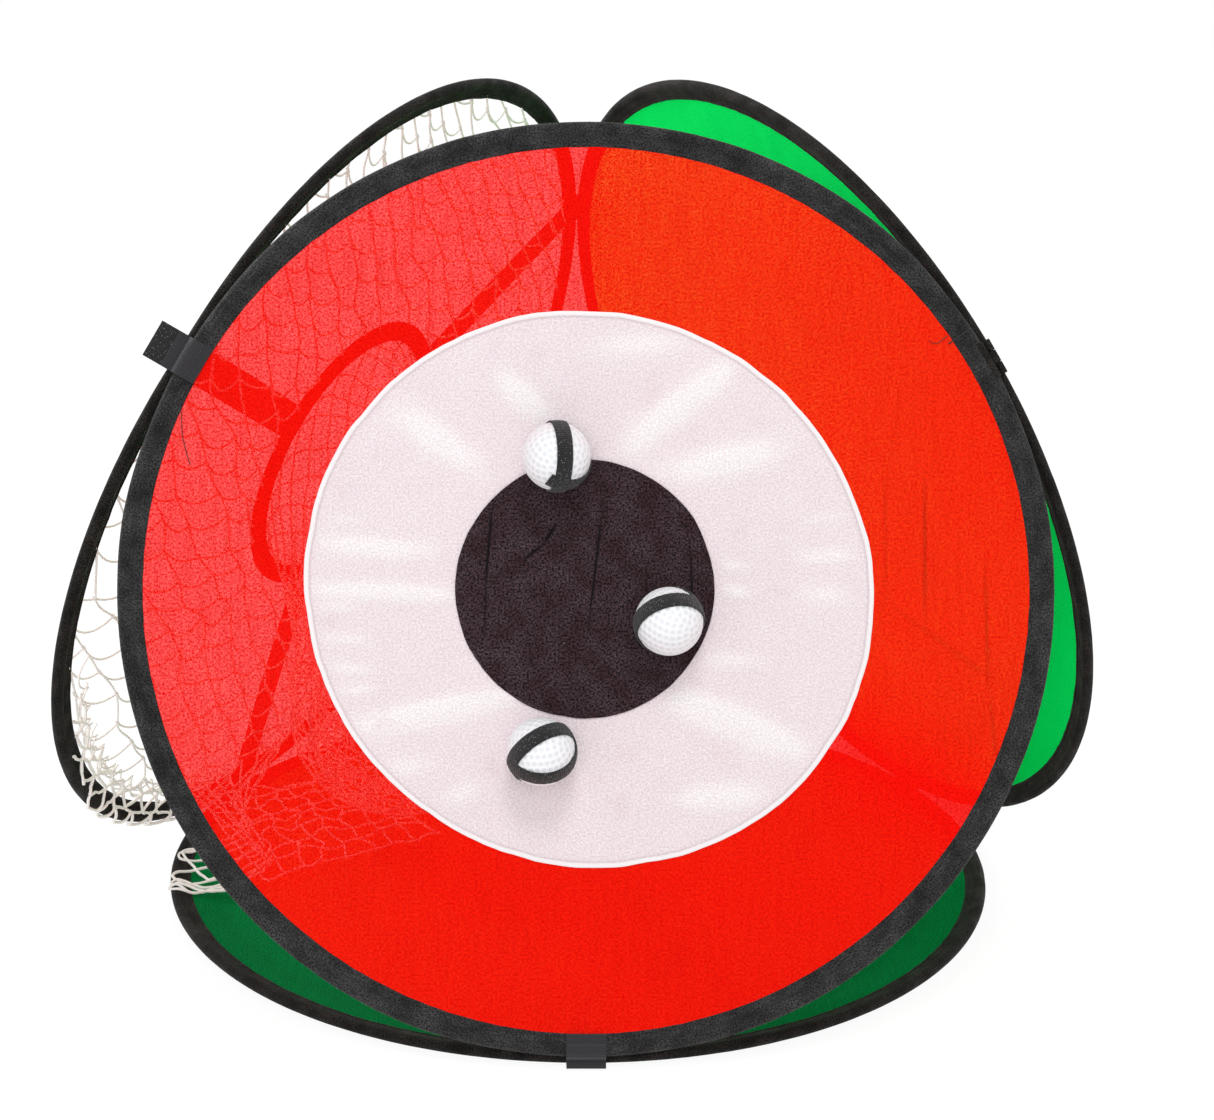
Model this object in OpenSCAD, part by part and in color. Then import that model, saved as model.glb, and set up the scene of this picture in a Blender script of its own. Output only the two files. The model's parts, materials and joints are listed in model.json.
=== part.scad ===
// Pop-up chipping net: four sprung hoops lean together as the faces of a regular tetrahedron.
// Millimetres, +Z up. The origin is on the ground, under the middle of the floor panel.
// The target panel faces -Y, the net panel is at the back left and the side panel at the back right.

/* [Hoops] */
// Outer diameter of a big hoop, over its binding
hoop_d = 586; // [450:1:800]
// Outer diameter of the small hoop round the chipping hole, over its binding
hole_hoop_d = 212; // [170:1:260]
// Width of a binding, from its outer edge to its inner edge
binding_w = 15; // [12:0.5:22]
// Thickness of one layer of binding fabric
binding_t = 0.6; // [0.4:0.1:1]
// Radial thickness of the flat spring-steel wire
wire_t = 1.2; // [0.8:0.1:1.6]
// Width of the flat spring-steel wire
wire_w = 4.5; // [3:0.1:6]
// Wall of the crimp sleeve that closes a wire
crimp_t = 0.5; // [0.3:0.1:0.8]
// Length of the crimp sleeve along the wire
crimp_len = 30; // [15:1:60]

/* [Cloth and netting] */
// Thickness of the panel cloth
cloth_t = 0.8; // [0.5:0.1:1.5]
// Diameter of the pale disc sewn on the target
white_d = 356; // [200:1:480]
// Diameter of the dark disc at the target's centre
black_d = 162; // [60:1:190]
// Width of the slope over which the floor cloth drops from its binding to the ground
floor_slope_w = 26; // [20:1:60]
// Width of the level cloth between the binding and that slope
floor_land_w = 2; // [1:0.5:6]
// Thickness of the netting cord
net_t = 1.6; // [1:0.1:2.5]
// Width of a netting cord
cord_w = 2; // [1:0.1:3]
// Distance between neighbouring cords of the netting
net_pitch = 30; // [24:1:45]
// Wall of the catch bag
bag_t = 2; // [1.5:0.1:4]
// Radius of the catch bag's belly
bag_r = 95; // [60:1:100]
// Gap between the belly and the net panel
bag_gap = 8; // [6:0.5:30]
// Height of the belly's underside above the ground
bag_lift = 15; // [14:1:40]

/* [Tapes and tabs] */
// Width of the hook-and-loop tabs and of the webbing straps
tab_w = 25; // [15:1:40]
// Thickness of the tabs and straps
tab_t = 1.2; // [0.8:0.1:1.8]
// Reach of the target's loop tab past the corner where it meets the net panel
net_flap = 6; // [3:0.5:12]
// Reach of the net panel's hook tab past the same corner
net_hook = 19; // [10:0.5:30]
// Reach of the loop tabs past the corners at the floor panel
floor_flap = 4; // [2:0.5:4.5]
// Reach of the floor panel's hook tabs past the same corners
floor_hook = 3; // [1:0.5:3.5]
// Width of the tapes at a sewn joint
hinge_w = 24; // [15:1:40]
// Thickness of the tapes at a sewn joint
tape_t = 1; // [0.6:0.1:1.2]
// Radius of the thread bar that a sewn joint turns on
thread_r = 1; // [0.6:0.1:1.6]
// Wall of the tape loop round the thread bar
loop_t = 0.95; // [0.6:0.05:1.4]

/* [Balls] */
// Diameter of a practice ball
ball_d = 42.7; // [38:0.1:45]
// Width of the hook strips round a ball
strip_w = 10; // [6:0.5:14]
// Thickness of the hook strips
strip_t = 1.2; // [0.6:0.1:1.6]

/* [Clearances] */
// Gap between the wire and its crimp sleeve
wire_fit = 0.05; // [0.02:0.01:0.2]
// Gap between the crimp sleeve and the fabric tube round it
channel_fit = 0.35; // [0.1:0.05:0.6]
// Gap on each side of a panel in its binding's slot
slot_fit = 0.1; // [0.05:0.05:0.3]
// Gap between the panel's edge and the slot's end
edge_fit = 0.5; // [0.2:0.1:1]
// Gap under a tape or strap that is sewn down
tape_fit = 0.15; // [0.1:0.05:0.3]
// Gap between layers of cloth sewn flat
layer_fit = 0.05; // [0.02:0.01:0.2]
// Gap between pieces that move past each other
run_gap = 0.3; // [0.3:0.05:0.5]
// Gap round the thread bar
thread_fit = 0.05; // [0.02:0.01:0.1]

/* [Hidden] */
$fn = 96;
hull_fn = 32;
past = 1;

// Angles of a regular tetrahedron: between two faces, and round a face from edge to edge.
dihedral = acos(1 / 3);
target_az = -90;
side_az = 30;
net_az = 150;
right_edge = 30;
left_edge = 150;
bottom_edge = -90;

// Hoop section: the tube is just large enough for the crimp sleeve.
crimp_space = wire_fit + crimp_t;
channel_r = norm([wire_t + 2 * crimp_space, wire_w + 2 * crimp_space]) / 2 + channel_fit;
tube_r = channel_r + binding_t;
hoop_r = hoop_d / 2;
wire_r = hoop_r - tube_r;
slot_depth = binding_w - 2 * tube_r;
panel_r = hoop_r - binding_w + slot_depth - edge_fit;
hole_wire_r = hole_hoop_d / 2 - binding_w + tube_r;
net_inner_r = hole_hoop_d / 2 - slot_depth + edge_fit;

// Sewn joints: seam is the distance from a wire's centre to the edge line that both hoops lean to.
loop_r = thread_r + thread_fit + loop_t;
joint_reach = tube_r + tape_fit + tape_t + run_gap + loop_r;
seam = max(joint_reach, (tube_r + run_gap / 2) / sin(dihedral / 2));
face_r = wire_r + seam;
ground_gap = tube_r + tape_fit + max(tab_t, tape_t);
face_h = ground_gap + face_r * sin(dihedral);
face_reach = face_r * (1 - cos(dihedral));

// The belly's centre: its height, and its distance from the middle of the object towards the net panel.
bag_level = bag_r + bag_lift;
bag_reach = face_r - (bag_level - ground_gap) / tan(dihedral) - (bag_r + bag_gap) / sin(dihedral);

// Layers on the target, measured outwards from the middle of the red cloth.
white_z = cloth_t / 2 + layer_fit;
black_z = white_z + cloth_t + layer_fit;

// Balls: place on the target from its centre, and how each ball's two strips are turned.
ball_r = ball_d / 2;
ball_upper_at = [-20, 83];
ball_right_at = [50, -19];
ball_lower_at = [-29, -100];
ball_upper_turns = [[0, 14, 0], [0, -44, 51]];
ball_right_turns = [[0, -37, -75], [0, -48, 137]];
ball_lower_turns = [[0, -28, -55], [0, -47, 87]];

// Crimps sit between the corners where hoops meet.
crimp_at = 245;
hole_crimp_at = 80;

// Places a side face: X runs along its lower edge, Y up the face and Z outwards, from the hoop's centre.
module face(az) {
  rotate([0, 0, az + 90])
    translate([0, -face_r, ground_gap])
      rotate([dihedral, 0, 0])
        translate([0, face_r, 0])
          children();
}

// Places the floor face the same way, with Z outwards to the ground.
module floor_face() {
  translate([0, 0, ground_gap])
    rotate([180, 0, 0])
      children();
}

// At a face's corner with its neighbour: X points out of the hoop, Y along the edge and Z outwards.
module edge(at) {
  rotate([0, 0, at])
    translate([face_r, 0, 0])
      children();
}

// Extrudes a section drawn in an edge's X and Z, centred along the edge.
module along_edge(length) {
  rotate([90, 0, 0])
    linear_extrude(length, center = true)
      children();
}

// Height of a binding's flange above the middle of its panel.
function flange_level(panel_t) = panel_t / 2 + slot_fit + binding_t;

// One fabric binding cut across: a tube for the wire and a flange with a slot for the panel.
module binding_section(panel_t) {
  slot = panel_t + 2 * slot_fit;
  flange = 2 * flange_level(panel_t);
  difference() {
    union() {
      circle(tube_r);
      translate([tube_r - binding_w, -flange / 2])
        square([binding_w - tube_r, flange]);
    }
    circle(channel_r);
    translate([tube_r - binding_w - past, -slot / 2])
      square([slot_depth + past, slot]);
  }
}

module hoop_binding(panel_t) {
  rotate_extrude()
    translate([wire_r, 0])
      binding_section(panel_t);
}

module hoop_wire(r) {
  rotate_extrude()
    translate([r - wire_t / 2, -wire_w / 2])
      square([wire_t, wire_w]);
}

module hoop_crimp(r, at) {
  rotate([0, 0, at])
    rotate_extrude(angle = crimp_len / r * 180 / PI)
      translate([r, 0])
        difference() {
          square([wire_t + 2 * crimp_space, wire_w + 2 * crimp_space], center = true);
          square([wire_t + 2 * wire_fit, wire_w + 2 * wire_fit], center = true);
        }
}

module cloth_disc(r) {
  cylinder(h = cloth_t, r = r, center = true);
}

// A band of even thickness round a circle, from one angle to another, less than half a turn apart.
module band_section(r, t, from, to) {
  far = 3 * (r + t);
  middle = (from + to) / 2;
  intersection() {
    difference() {
      circle(r + t);
      circle(r);
    }
    polygon([
      [0, 0],
      far * [cos(from), sin(from)],
      far * [cos(middle), sin(middle)],
      far * [cos(to), sin(to)]
    ]);
  }
}

// One tape of a sewn joint: it lies on the outside of its hoop and loops round the thread bar.
module joint_tape(inner) {
  third = hinge_w / 3;
  width = inner ? third : third - run_gap;
  places = inner ? [0] : [-(third + run_gap / 2), third + run_gap / 2];
  along_edge(hinge_w)
    translate([-seam, 0])
      band_section(tube_r + tape_fit, tape_t, 0, 90);
  for (place = places) {
    translate([0, place, 0])
      along_edge(width)
        difference() {
          union() {
            circle(loop_r);
            translate([tube_r + tape_fit - seam, 0])
              square([seam - tube_r - tape_fit, loop_r]);
          }
          circle(thread_r + thread_fit);
        }
  }
}

module joint_thread() {
  rotate([90, 0, 0])
    cylinder(h = hinge_w, r = thread_r, center = true);
}

// The neighbour's hoop is this far inwards and this far below, seen in an edge's X and Z.
neighbour_at = -seam * [cos(dihedral), sin(dihedral)];
hook_level = neighbour_at.y + tube_r + tape_fit;

// Loop tab: sewn at the binding's inner edge, over the tube and on to the neighbour's hook tab.
// Its root lies on a surface at root_level.
module loop_tab(root_level, reach) {
  root_z = root_level + run_gap;
  root_x = tube_r - binding_w - seam + tab_t;
  band_r = tube_r + run_gap;
  rise = asin(root_z / band_r);
  flap_z = hook_level + tab_t + run_gap;
  along_edge(tab_w) {
    translate([root_x, root_z + tab_t / 2])
      circle(tab_t / 2);
    translate([root_x, root_z])
      square([-seam - band_r * cos(rise) - root_x, tab_t]);
    translate([-seam, 0])
      band_section(band_r, tab_t, 180 - rise, 90);
    translate([-seam, 0])
      band_section(band_r, tab_t, 90, asin((flap_z + tab_t / 4) / (band_r + tab_t)));
    translate([band_r - seam, flap_z])
      square([reach + seam - band_r, tab_t]);
  }
}

// Hook tab: wraps the outside of the neighbour's hoop and sticks out under the loop tab.
module hook_tab(reach) {
  band_r = tube_r + tape_fit;
  along_edge(tab_w) {
    translate(neighbour_at)
      band_section(band_r, tab_t, dihedral - 90, 90);
    translate([neighbour_at.x, hook_level])
      square([reach - neighbour_at.x, tab_t]);
  }
}

// Webbing strap on the outside of the net, from the hole's hoop to the rim.
module net_strap(at) {
  start = hole_wire_r + tube_r + edge_fit;
  finish = wire_r - tube_r - 2 * edge_fit;
  color("#1c1c1e")
    rotate([0, 0, at])
      translate([start, -tab_w / 2, flange_level(net_t) + tape_fit])
        cube([finish - start, tab_w, tab_t]);
}

// The catch bag's shape, smaller all round by inset.
module bag_shape(inset, mouth_h) {
  mouth_r = hole_wire_r + tube_r - binding_t;
  rotate([0, 0, net_az])
    hull() {
      translate([face_reach, 0, face_h])
        rotate([0, dihedral, 0])
          translate([0, 0, -tube_r - run_gap - bag_t])
            cylinder(h = mouth_h, r = mouth_r - inset, $fn = hull_fn);
      translate([bag_reach, 0, bag_level])
        sphere(bag_r - inset, $fn = hull_fn);
    }
}

// A ball's middle stands on the layer of the target that is under it.
function ball_level(at) =
  (norm(at) < black_d / 2 + ball_r / 2 ? black_z : white_z) + cloth_t + run_gap + strip_t + ball_r;

module at_ball(at) {
  face(target_az)
    translate([at.x, at.y, ball_level(at)])
      children();
}

module ball() {
  color("white")
    sphere(ball_r);
}

module ball_strips(turns) {
  color("#222222")
    difference() {
      intersection() {
        sphere(ball_r + strip_t);
        for (turn = turns) {
          rotate(turn)
            cube([strip_w, ball_d * 2, ball_d * 2], center = true);
        }
      }
      sphere(ball_r + layer_fit);
    }
}

module target_binding() {
  color("#303032") face(target_az) hoop_binding(cloth_t);
}

module target_wire() {
  color("silver") face(target_az) hoop_wire(wire_r);
}

module target_crimp() {
  color("gray") face(target_az) hoop_crimp(wire_r, crimp_at);
}

module target_cloth() {
  color("#ff3520") face(target_az) cloth_disc(panel_r);
}

module target_white_disc() {
  color("#ebdce1")
    face(target_az)
      translate([0, 0, white_z + cloth_t / 2])
        cloth_disc(white_d / 2);
}

module target_black_disc() {
  color("#32262d")
    face(target_az)
      translate([0, 0, black_z + cloth_t / 2])
        cloth_disc(black_d / 2);
}

module net_binding() {
  color("#232120") face(net_az) hoop_binding(net_t);
}

module net_wire() {
  color("silver") face(net_az) hoop_wire(wire_r);
}

module net_crimp() {
  color("gray") face(net_az) hoop_crimp(wire_r, crimp_at);
}

// Netting of crossed cords, between the rim's slot and the slot of the hole's hoop.
module net_face() {
  count = ceil(panel_r / net_pitch);
  color("#efe9dc")
    face(net_az)
      linear_extrude(net_t, center = true)
        intersection() {
          difference() {
            circle(panel_r);
            circle(net_inner_r);
          }
          for (lean = [45, -45], row = [-count : count]) {
            rotate(lean)
              translate([(row + 0.5) * net_pitch, 0])
                square([cord_w, 2 * hoop_d], center = true);
          }
        }
}

module hole_binding() {
  color("#232120")
    face(net_az)
      rotate_extrude()
        translate([hole_wire_r, 0])
          mirror([1, 0])
            binding_section(net_t);
}

module hole_wire() {
  color("silver") face(net_az) hoop_wire(hole_wire_r);
}

module hole_crimp() {
  color("gray") face(net_az) hoop_crimp(hole_wire_r, hole_crimp_at);
}

module catch_bag() {
  color("#efe9dc")
    difference() {
      bag_shape(0, bag_t);
      bag_shape(bag_t, 3 * bag_t);
    }
}

module strap_front() {
  face(net_az) net_strap(right_edge);
}

module strap_back() {
  face(net_az) net_strap(left_edge);
}

module strap_floor() {
  face(net_az) net_strap(bottom_edge);
}

module side_binding() {
  color("#232120") face(side_az) hoop_binding(cloth_t);
}

module side_wire() {
  color("silver") face(side_az) hoop_wire(wire_r);
}

module side_crimp() {
  color("gray") face(side_az) hoop_crimp(wire_r, crimp_at);
}

module side_cloth() {
  color("#00d25f") face(side_az) cloth_disc(panel_r);
}

module floor_binding() {
  color("#232120") floor_face() hoop_binding(cloth_t);
}

module floor_wire() {
  color("silver") floor_face() hoop_wire(wire_r);
}

module floor_crimp() {
  color("gray") floor_face() hoop_crimp(wire_r, crimp_at);
}

// The floor cloth hangs from its slot on to the ground.
module floor_cloth() {
  low = ground_gap - cloth_t / 2;
  rise_r = hoop_r - binding_w - floor_land_w;
  flat_r = rise_r - floor_slope_w;
  color("#008c3c")
    rotate_extrude()
      polygon([
        [0, 0],
        [flat_r, 0],
        [rise_r, low],
        [panel_r, low],
        [panel_r, low + cloth_t],
        [rise_r, low + cloth_t],
        [flat_r, cloth_t],
        [0, cloth_t]
      ]);
}

module joint_floor_side_lower_tape() {
  color("#2a2a2c") floor_face() edge(-side_az) joint_tape(false);
}

module joint_floor_side_upper_tape() {
  color("#2a2a2c") face(side_az) edge(bottom_edge) joint_tape(true);
}

module joint_floor_side_thread() {
  color("black") face(side_az) edge(bottom_edge) joint_thread();
}

module joint_side_target_side_tape() {
  color("#2a2a2c") face(side_az) edge(left_edge) joint_tape(false);
}

module joint_side_target_front_tape() {
  color("#2a2a2c") face(target_az) edge(right_edge) joint_tape(true);
}

module joint_side_target_thread() {
  color("black") face(side_az) edge(left_edge) joint_thread();
}

module joint_side_net_side_tape() {
  color("#2a2a2c") face(side_az) edge(right_edge) joint_tape(false);
}

module joint_side_net_net_tape() {
  color("#2a2a2c") face(net_az) edge(left_edge) joint_tape(true);
}

module joint_side_net_thread() {
  color("black") face(side_az) edge(right_edge) joint_thread();
}

module tab_target_net() {
  color("#232326") face(target_az) edge(left_edge) loop_tab(flange_level(cloth_t), net_flap);
}

module hook_target_net() {
  color("#151517") face(target_az) edge(left_edge) hook_tab(net_hook);
}

module tab_target_floor() {
  color("#232326") face(target_az) edge(bottom_edge) loop_tab(flange_level(cloth_t), floor_flap);
}

module hook_target_floor() {
  color("#151517") face(target_az) edge(bottom_edge) hook_tab(floor_hook);
}

// This tab is sewn over the end of the strap that runs down from the hole's hoop.
module tab_net_floor() {
  strap_top = flange_level(net_t) + tape_fit + tab_t;
  color("#232326") face(net_az) edge(bottom_edge) loop_tab(strap_top, floor_flap);
}

module hook_net_floor() {
  color("#151517") face(net_az) edge(bottom_edge) hook_tab(floor_hook);
}

module ball_upper() {
  at_ball(ball_upper_at) ball();
}

module ball_upper_strips() {
  at_ball(ball_upper_at) ball_strips(ball_upper_turns);
}

module ball_right() {
  at_ball(ball_right_at) ball();
}

module ball_right_strips() {
  at_ball(ball_right_at) ball_strips(ball_right_turns);
}

module ball_lower() {
  at_ball(ball_lower_at) ball();
}

module ball_lower_strips() {
  at_ball(ball_lower_at) ball_strips(ball_lower_turns);
}

target_binding();
target_wire();
target_crimp();
target_cloth();
target_white_disc();
target_black_disc();
net_binding();
net_wire();
net_crimp();
net_face();
hole_binding();
hole_wire();
hole_crimp();
catch_bag();
strap_front();
strap_back();
strap_floor();
side_binding();
side_wire();
side_crimp();
side_cloth();
floor_binding();
floor_wire();
floor_crimp();
floor_cloth();
joint_floor_side_lower_tape();
joint_floor_side_upper_tape();
joint_floor_side_thread();
joint_side_target_side_tape();
joint_side_target_front_tape();
joint_side_target_thread();
joint_side_net_side_tape();
joint_side_net_net_tape();
joint_side_net_thread();
tab_target_net();
hook_target_net();
tab_target_floor();
hook_target_floor();
tab_net_floor();
hook_net_floor();
ball_upper();
ball_upper_strips();
ball_right();
ball_right_strips();
ball_lower();
ball_lower_strips();
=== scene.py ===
import json
import math

import bmesh
import bpy
import numpy as np
from mathutils import Matrix, Vector


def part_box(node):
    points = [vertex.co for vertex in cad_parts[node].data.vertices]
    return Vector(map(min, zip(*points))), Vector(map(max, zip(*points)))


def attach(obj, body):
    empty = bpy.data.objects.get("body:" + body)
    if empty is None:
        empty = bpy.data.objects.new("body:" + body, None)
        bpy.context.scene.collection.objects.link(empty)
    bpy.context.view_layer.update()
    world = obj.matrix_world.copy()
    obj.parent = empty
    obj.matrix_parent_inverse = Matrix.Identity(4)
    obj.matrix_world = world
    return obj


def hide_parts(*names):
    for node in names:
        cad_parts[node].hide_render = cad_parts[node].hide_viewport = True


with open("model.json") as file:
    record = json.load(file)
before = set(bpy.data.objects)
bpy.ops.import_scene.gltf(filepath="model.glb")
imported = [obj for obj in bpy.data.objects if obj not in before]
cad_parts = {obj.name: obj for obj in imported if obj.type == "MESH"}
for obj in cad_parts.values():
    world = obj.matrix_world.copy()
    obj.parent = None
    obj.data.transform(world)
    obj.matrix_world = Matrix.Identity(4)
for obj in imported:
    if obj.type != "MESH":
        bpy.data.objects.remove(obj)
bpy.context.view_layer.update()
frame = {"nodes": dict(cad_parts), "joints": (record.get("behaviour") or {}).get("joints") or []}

mm = 0.001

# ---------------------------------------------------------------- sizes, some read from the frame

joint_at = {j["name"]: j["pos_m"] for j in frame["joints"] if "pos_m" in j}
HOOP_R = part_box("floor_binding")[1].x
TUBE_R = (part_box("floor_binding")[1].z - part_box("floor_binding")[0].z) / 2
GROUND_GAP = (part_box("floor_binding")[1].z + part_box("floor_binding")[0].z) / 2
FACE_R = math.hypot(*joint_at["side_panel_fold"][:2])
WIRE_R = HOOP_R - TUBE_R
SKIN_R = TUBE_R * 0.985
BINDING_W = 15 * mm
INNER_R = HOOP_R - BINDING_W
CLOTH_R = INNER_R + 6.4 * mm
HOLE_OUTER_R = 106 * mm
HOLE_WIRE_R = HOLE_OUTER_R - BINDING_W + TUBE_R
LEAN = math.acos(1 / 3)
CLOTH_T = 0.8 * mm
TAB_W = 25 * mm
TAB_T = 1.2 * mm
BALL_R = 21.35 * mm
WHITE_LEVEL = 0.45 * mm
BLACK_LEVEL = 1.3 * mm
NET_AZIMUTH = 150


def side_face(azimuth):
    """Where a leaning panel stands: X along its lower edge, Y up the panel, Z outwards."""
    return (
        Matrix.Rotation(math.radians(azimuth + 90), 4, "Z")
        @ Matrix.Translation((0, -FACE_R, GROUND_GAP))
        @ Matrix.Rotation(LEAN, 4, "X")
        @ Matrix.Translation((0, FACE_R, 0))
    )


PANEL = {
    "target": side_face(-90),
    "side": side_face(30),
    "net": side_face(NET_AZIMUTH),
    "floor": Matrix.Translation((0, 0, GROUND_GAP)) @ Matrix.Rotation(math.pi, 4, "X"),
}


def corner(panel, at):
    """A panel's corner with its neighbour: X out of the hoop, Y along the edge, Z outwards."""
    return PANEL[panel] @ Matrix.Rotation(math.radians(at), 4, "Z") @ Matrix.Translation((FACE_R, 0, 0))


# ---------------------------------------------------------------- camera

camera = bpy.data.objects.new("camera", bpy.data.cameras.new("camera"))
bpy.context.scene.collection.objects.link(camera)
camera.matrix_world = Matrix(
    (
        (0.9998, -0.0028, -0.0218, -0.0395),
        (-0.0197, 0.3330, -0.9427, -1.9013),
        (0.0099, 0.9429, 0.3329, 0.8864),
        (0, 0, 0, 1),
    )
)
camera.data.sensor_width = 36
camera.data.lens = 85.33
camera.data.shift_x = 0.0161
camera.data.shift_y = 0.0251
camera.data.clip_start = 0.05
camera.data.clip_end = 100
bpy.context.scene.camera = camera

# ---------------------------------------------------------------- working on meshes


def deselect():
    if bpy.context.mode != "OBJECT":
        bpy.ops.object.mode_set(mode="OBJECT")
    bpy.ops.object.select_all(action="DESELECT")


def take(name):
    """The primitive that was just added, under its own name."""
    piece = bpy.context.active_object
    piece.name = name
    piece.data.name = name
    return piece


def pick(piece, *others):
    """Selects pieces, the first of them as the active one."""
    deselect()
    for one in (piece, *others):
        one.select_set(True)
    bpy.context.view_layer.objects.active = piece
    return piece


def join(piece, *others):
    """Makes one piece of several, under the first one's name."""
    pick(piece, *others)
    bpy.ops.object.join()
    return piece


def new_piece(name, points, faces):
    mesh = bpy.data.meshes.new(name)
    mesh.from_pydata(points.tolist(), [], faces)
    mesh.update()
    piece = bpy.data.objects.new(name, mesh)
    bpy.context.scene.collection.objects.link(piece)
    return piece


def edit(piece, select=None, mode="FACE"):
    """Edit mode, with only the faces or vertices selected for which select is true."""
    pick(piece)
    bpy.ops.object.mode_set(mode="EDIT")
    bpy.ops.mesh.select_mode(type=mode)
    bpy.ops.mesh.select_all(action="DESELECT")
    if select is None:
        return
    mesh = bmesh.from_edit_mesh(piece.data)
    if mode == "FACE":
        for face in mesh.faces:
            face.select_set(bool(select(face.calc_center_median())))
    else:
        for vertex in mesh.verts:
            vertex.select_set(bool(select(vertex.co)))
        mesh.select_flush_mode()
    bmesh.update_edit_mesh(piece.data)


def done():
    bpy.ops.object.mode_set(mode="OBJECT")


def modify(piece, kind, **settings):
    """Adds a modifier and applies it."""
    pick(piece)
    modifier = piece.modifiers.new(kind.lower(), kind)
    for key, value in settings.items():
        setattr(modifier, key, value)
    bpy.ops.object.modifier_apply(modifier=modifier.name)
    return piece


def soften(piece, width, degrees=50):
    """Rounds every edge that turns more than so many degrees."""
    return modify(
        piece, "BEVEL", width=width, segments=2, limit_method="ANGLE", angle_limit=math.radians(degrees)
    )


def points_of(piece):
    points = np.zeros(len(piece.data.vertices) * 3)
    piece.data.vertices.foreach_get("co", points)
    return points.reshape(-1, 3)


def polar(points):
    """How far from the Z axis each point lies, and at what angle round it."""
    return np.hypot(points[:, 0], points[:, 1]), np.arctan2(points[:, 1], points[:, 0])


def directions(angles):
    return np.column_stack([np.cos(angles), np.sin(angles)])


def move_points(piece, points):
    piece.data.vertices.foreach_set("co", np.ascontiguousarray(points, np.float32).ravel())
    piece.data.update()


def smooth(piece, degrees=40):
    pick(piece)
    bpy.ops.object.shade_smooth_by_angle(angle=math.radians(degrees))
    return piece


def outward(piece):
    edit(piece)
    bpy.ops.mesh.select_all(action="SELECT")
    bpy.ops.mesh.remove_doubles(threshold=1e-6)
    bpy.ops.mesh.normals_make_consistent(inside=False)
    done()
    return piece


def lay_out(piece, along_across):
    """Writes the piece's UV map in metres. along_across gives (u, v) of each corner from its point
    and from the middle of its face."""
    mesh = piece.data
    layer = mesh.uv_layers.get("UVMap") or mesh.uv_layers.new(name="UVMap")
    mesh.uv_layers.active = layer
    points = points_of(piece)
    corners = np.zeros(len(mesh.loops), np.int32)
    mesh.loops.foreach_get("vertex_index", corners)
    sizes = np.zeros(len(mesh.polygons), np.int32)
    mesh.polygons.foreach_get("loop_total", sizes)
    middles = np.zeros(len(mesh.polygons) * 3)
    mesh.polygons.foreach_get("center", middles)
    middles = np.repeat(middles.reshape(-1, 3), sizes, axis=0)
    uv = along_across(points[corners], middles)
    layer.data.foreach_set("uv", np.ascontiguousarray(uv, np.float32).ravel())


def flat_uv(points, middles):
    return points[:, :2]


def unrolled_angle(points, middles):
    """Each point's angle, on the same side of the seam as the middle of its face."""
    own, base = polar(points)[1], polar(middles)[1]
    return base + (own - base + math.pi) % math.tau - math.pi


def note(piece, name, values):
    """A number for each vertex, which the materials read."""
    layer = piece.data.attributes.new(name, "FLOAT", "POINT")
    layer.data.foreach_set("value", np.ascontiguousarray(values, np.float32))


def coat(piece, material):
    piece.data.materials.clear()
    piece.data.materials.append(material)


def finish_piece(piece, place, body, material, replaced=()):
    """Puts a piece where its panel stands, and fixes it to its body."""
    piece.data.transform(place)
    piece.data.update()
    coat(piece, material)
    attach(piece, body)
    if replaced:
        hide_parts(*replaced)
    return piece


def noise(points, size, seed, octaves=2):
    """Smooth noise from -1 to 1 on (n, 2) or (n, 3) points."""
    points = np.atleast_2d(points)
    if points.shape[1] == 2:
        points = np.column_stack([points, np.zeros(len(points))])
    total, reach = np.zeros(len(points)), 0.0
    for octave in range(octaves):
        scaled = points / size * 2**octave + seed * 17.31 + octave * 5.7
        base = np.floor(scaled).astype(np.int64)
        part = scaled - base
        part = part * part * (3 - 2 * part)
        value = np.zeros(len(points))
        for dx in (0, 1):
            for dy in (0, 1):
                for dz in (0, 1):
                    cell = base + (dx, dy, dz)
                    mixed = (cell[:, 0] * 73856093) ^ (cell[:, 1] * 19349663) ^ (cell[:, 2] * 83492791)
                    mixed = (mixed ^ (mixed >> 13)) * 1274126177 & 0x7FFFFFFF
                    mixed = (mixed ^ (mixed >> 15)) * 668265263 & 0x7FFFFFFF
                    weight = (
                        (part[:, 0] if dx else 1 - part[:, 0])
                        * (part[:, 1] if dy else 1 - part[:, 1])
                        * (part[:, 2] if dz else 1 - part[:, 2])
                    )
                    value += weight * (mixed / 0x3FFFFFFF - 1)
        total += value * 0.5**octave
        reach += 0.5**octave
    return total / reach


def shake(points, size, seed, octaves=2):
    """Smooth noise for X and Y, as two columns."""
    return np.column_stack([noise(points, size, seed, octaves), noise(points, size, seed + 1, octaves)])


def bell(x):
    return np.exp(-x * x)


def to_segment(at, start, end):
    """Where points lie along a line, 0 to 1 from its start to its end, and how far away from it they are."""
    run = np.subtract(end, start)
    share = (at - start) @ run / (run @ run)
    away = np.hypot(*(at - start - np.clip(share, 0, 1)[:, None] * run).T)
    return share, away


# ---------------------------------------------------------------- node groups


def add(tree, kind, inputs=None, **settings):
    """A new node. An input is linked when it comes from another node, and set when it is a plain value."""
    node = tree.nodes.new("ShaderNode" + kind)
    for key, value in settings.items():
        setattr(node, key, value)
    for key, value in (inputs or {}).items():
        socket = node.inputs[key]
        if isinstance(value, bpy.types.NodeSocket):
            tree.links.new(value, socket)
        else:
            socket.default_value = value
    return node


def calc(tree, operation, *values, clamp=False):
    node = add(tree, "Math", dict(enumerate(values)), operation=operation, use_clamp=clamp)
    return node.outputs[0]


def vector_calc(tree, operation, *values, out="Vector"):
    node = add(tree, "VectorMath", dict(enumerate(values)), operation=operation)
    return node.outputs[out]


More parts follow.
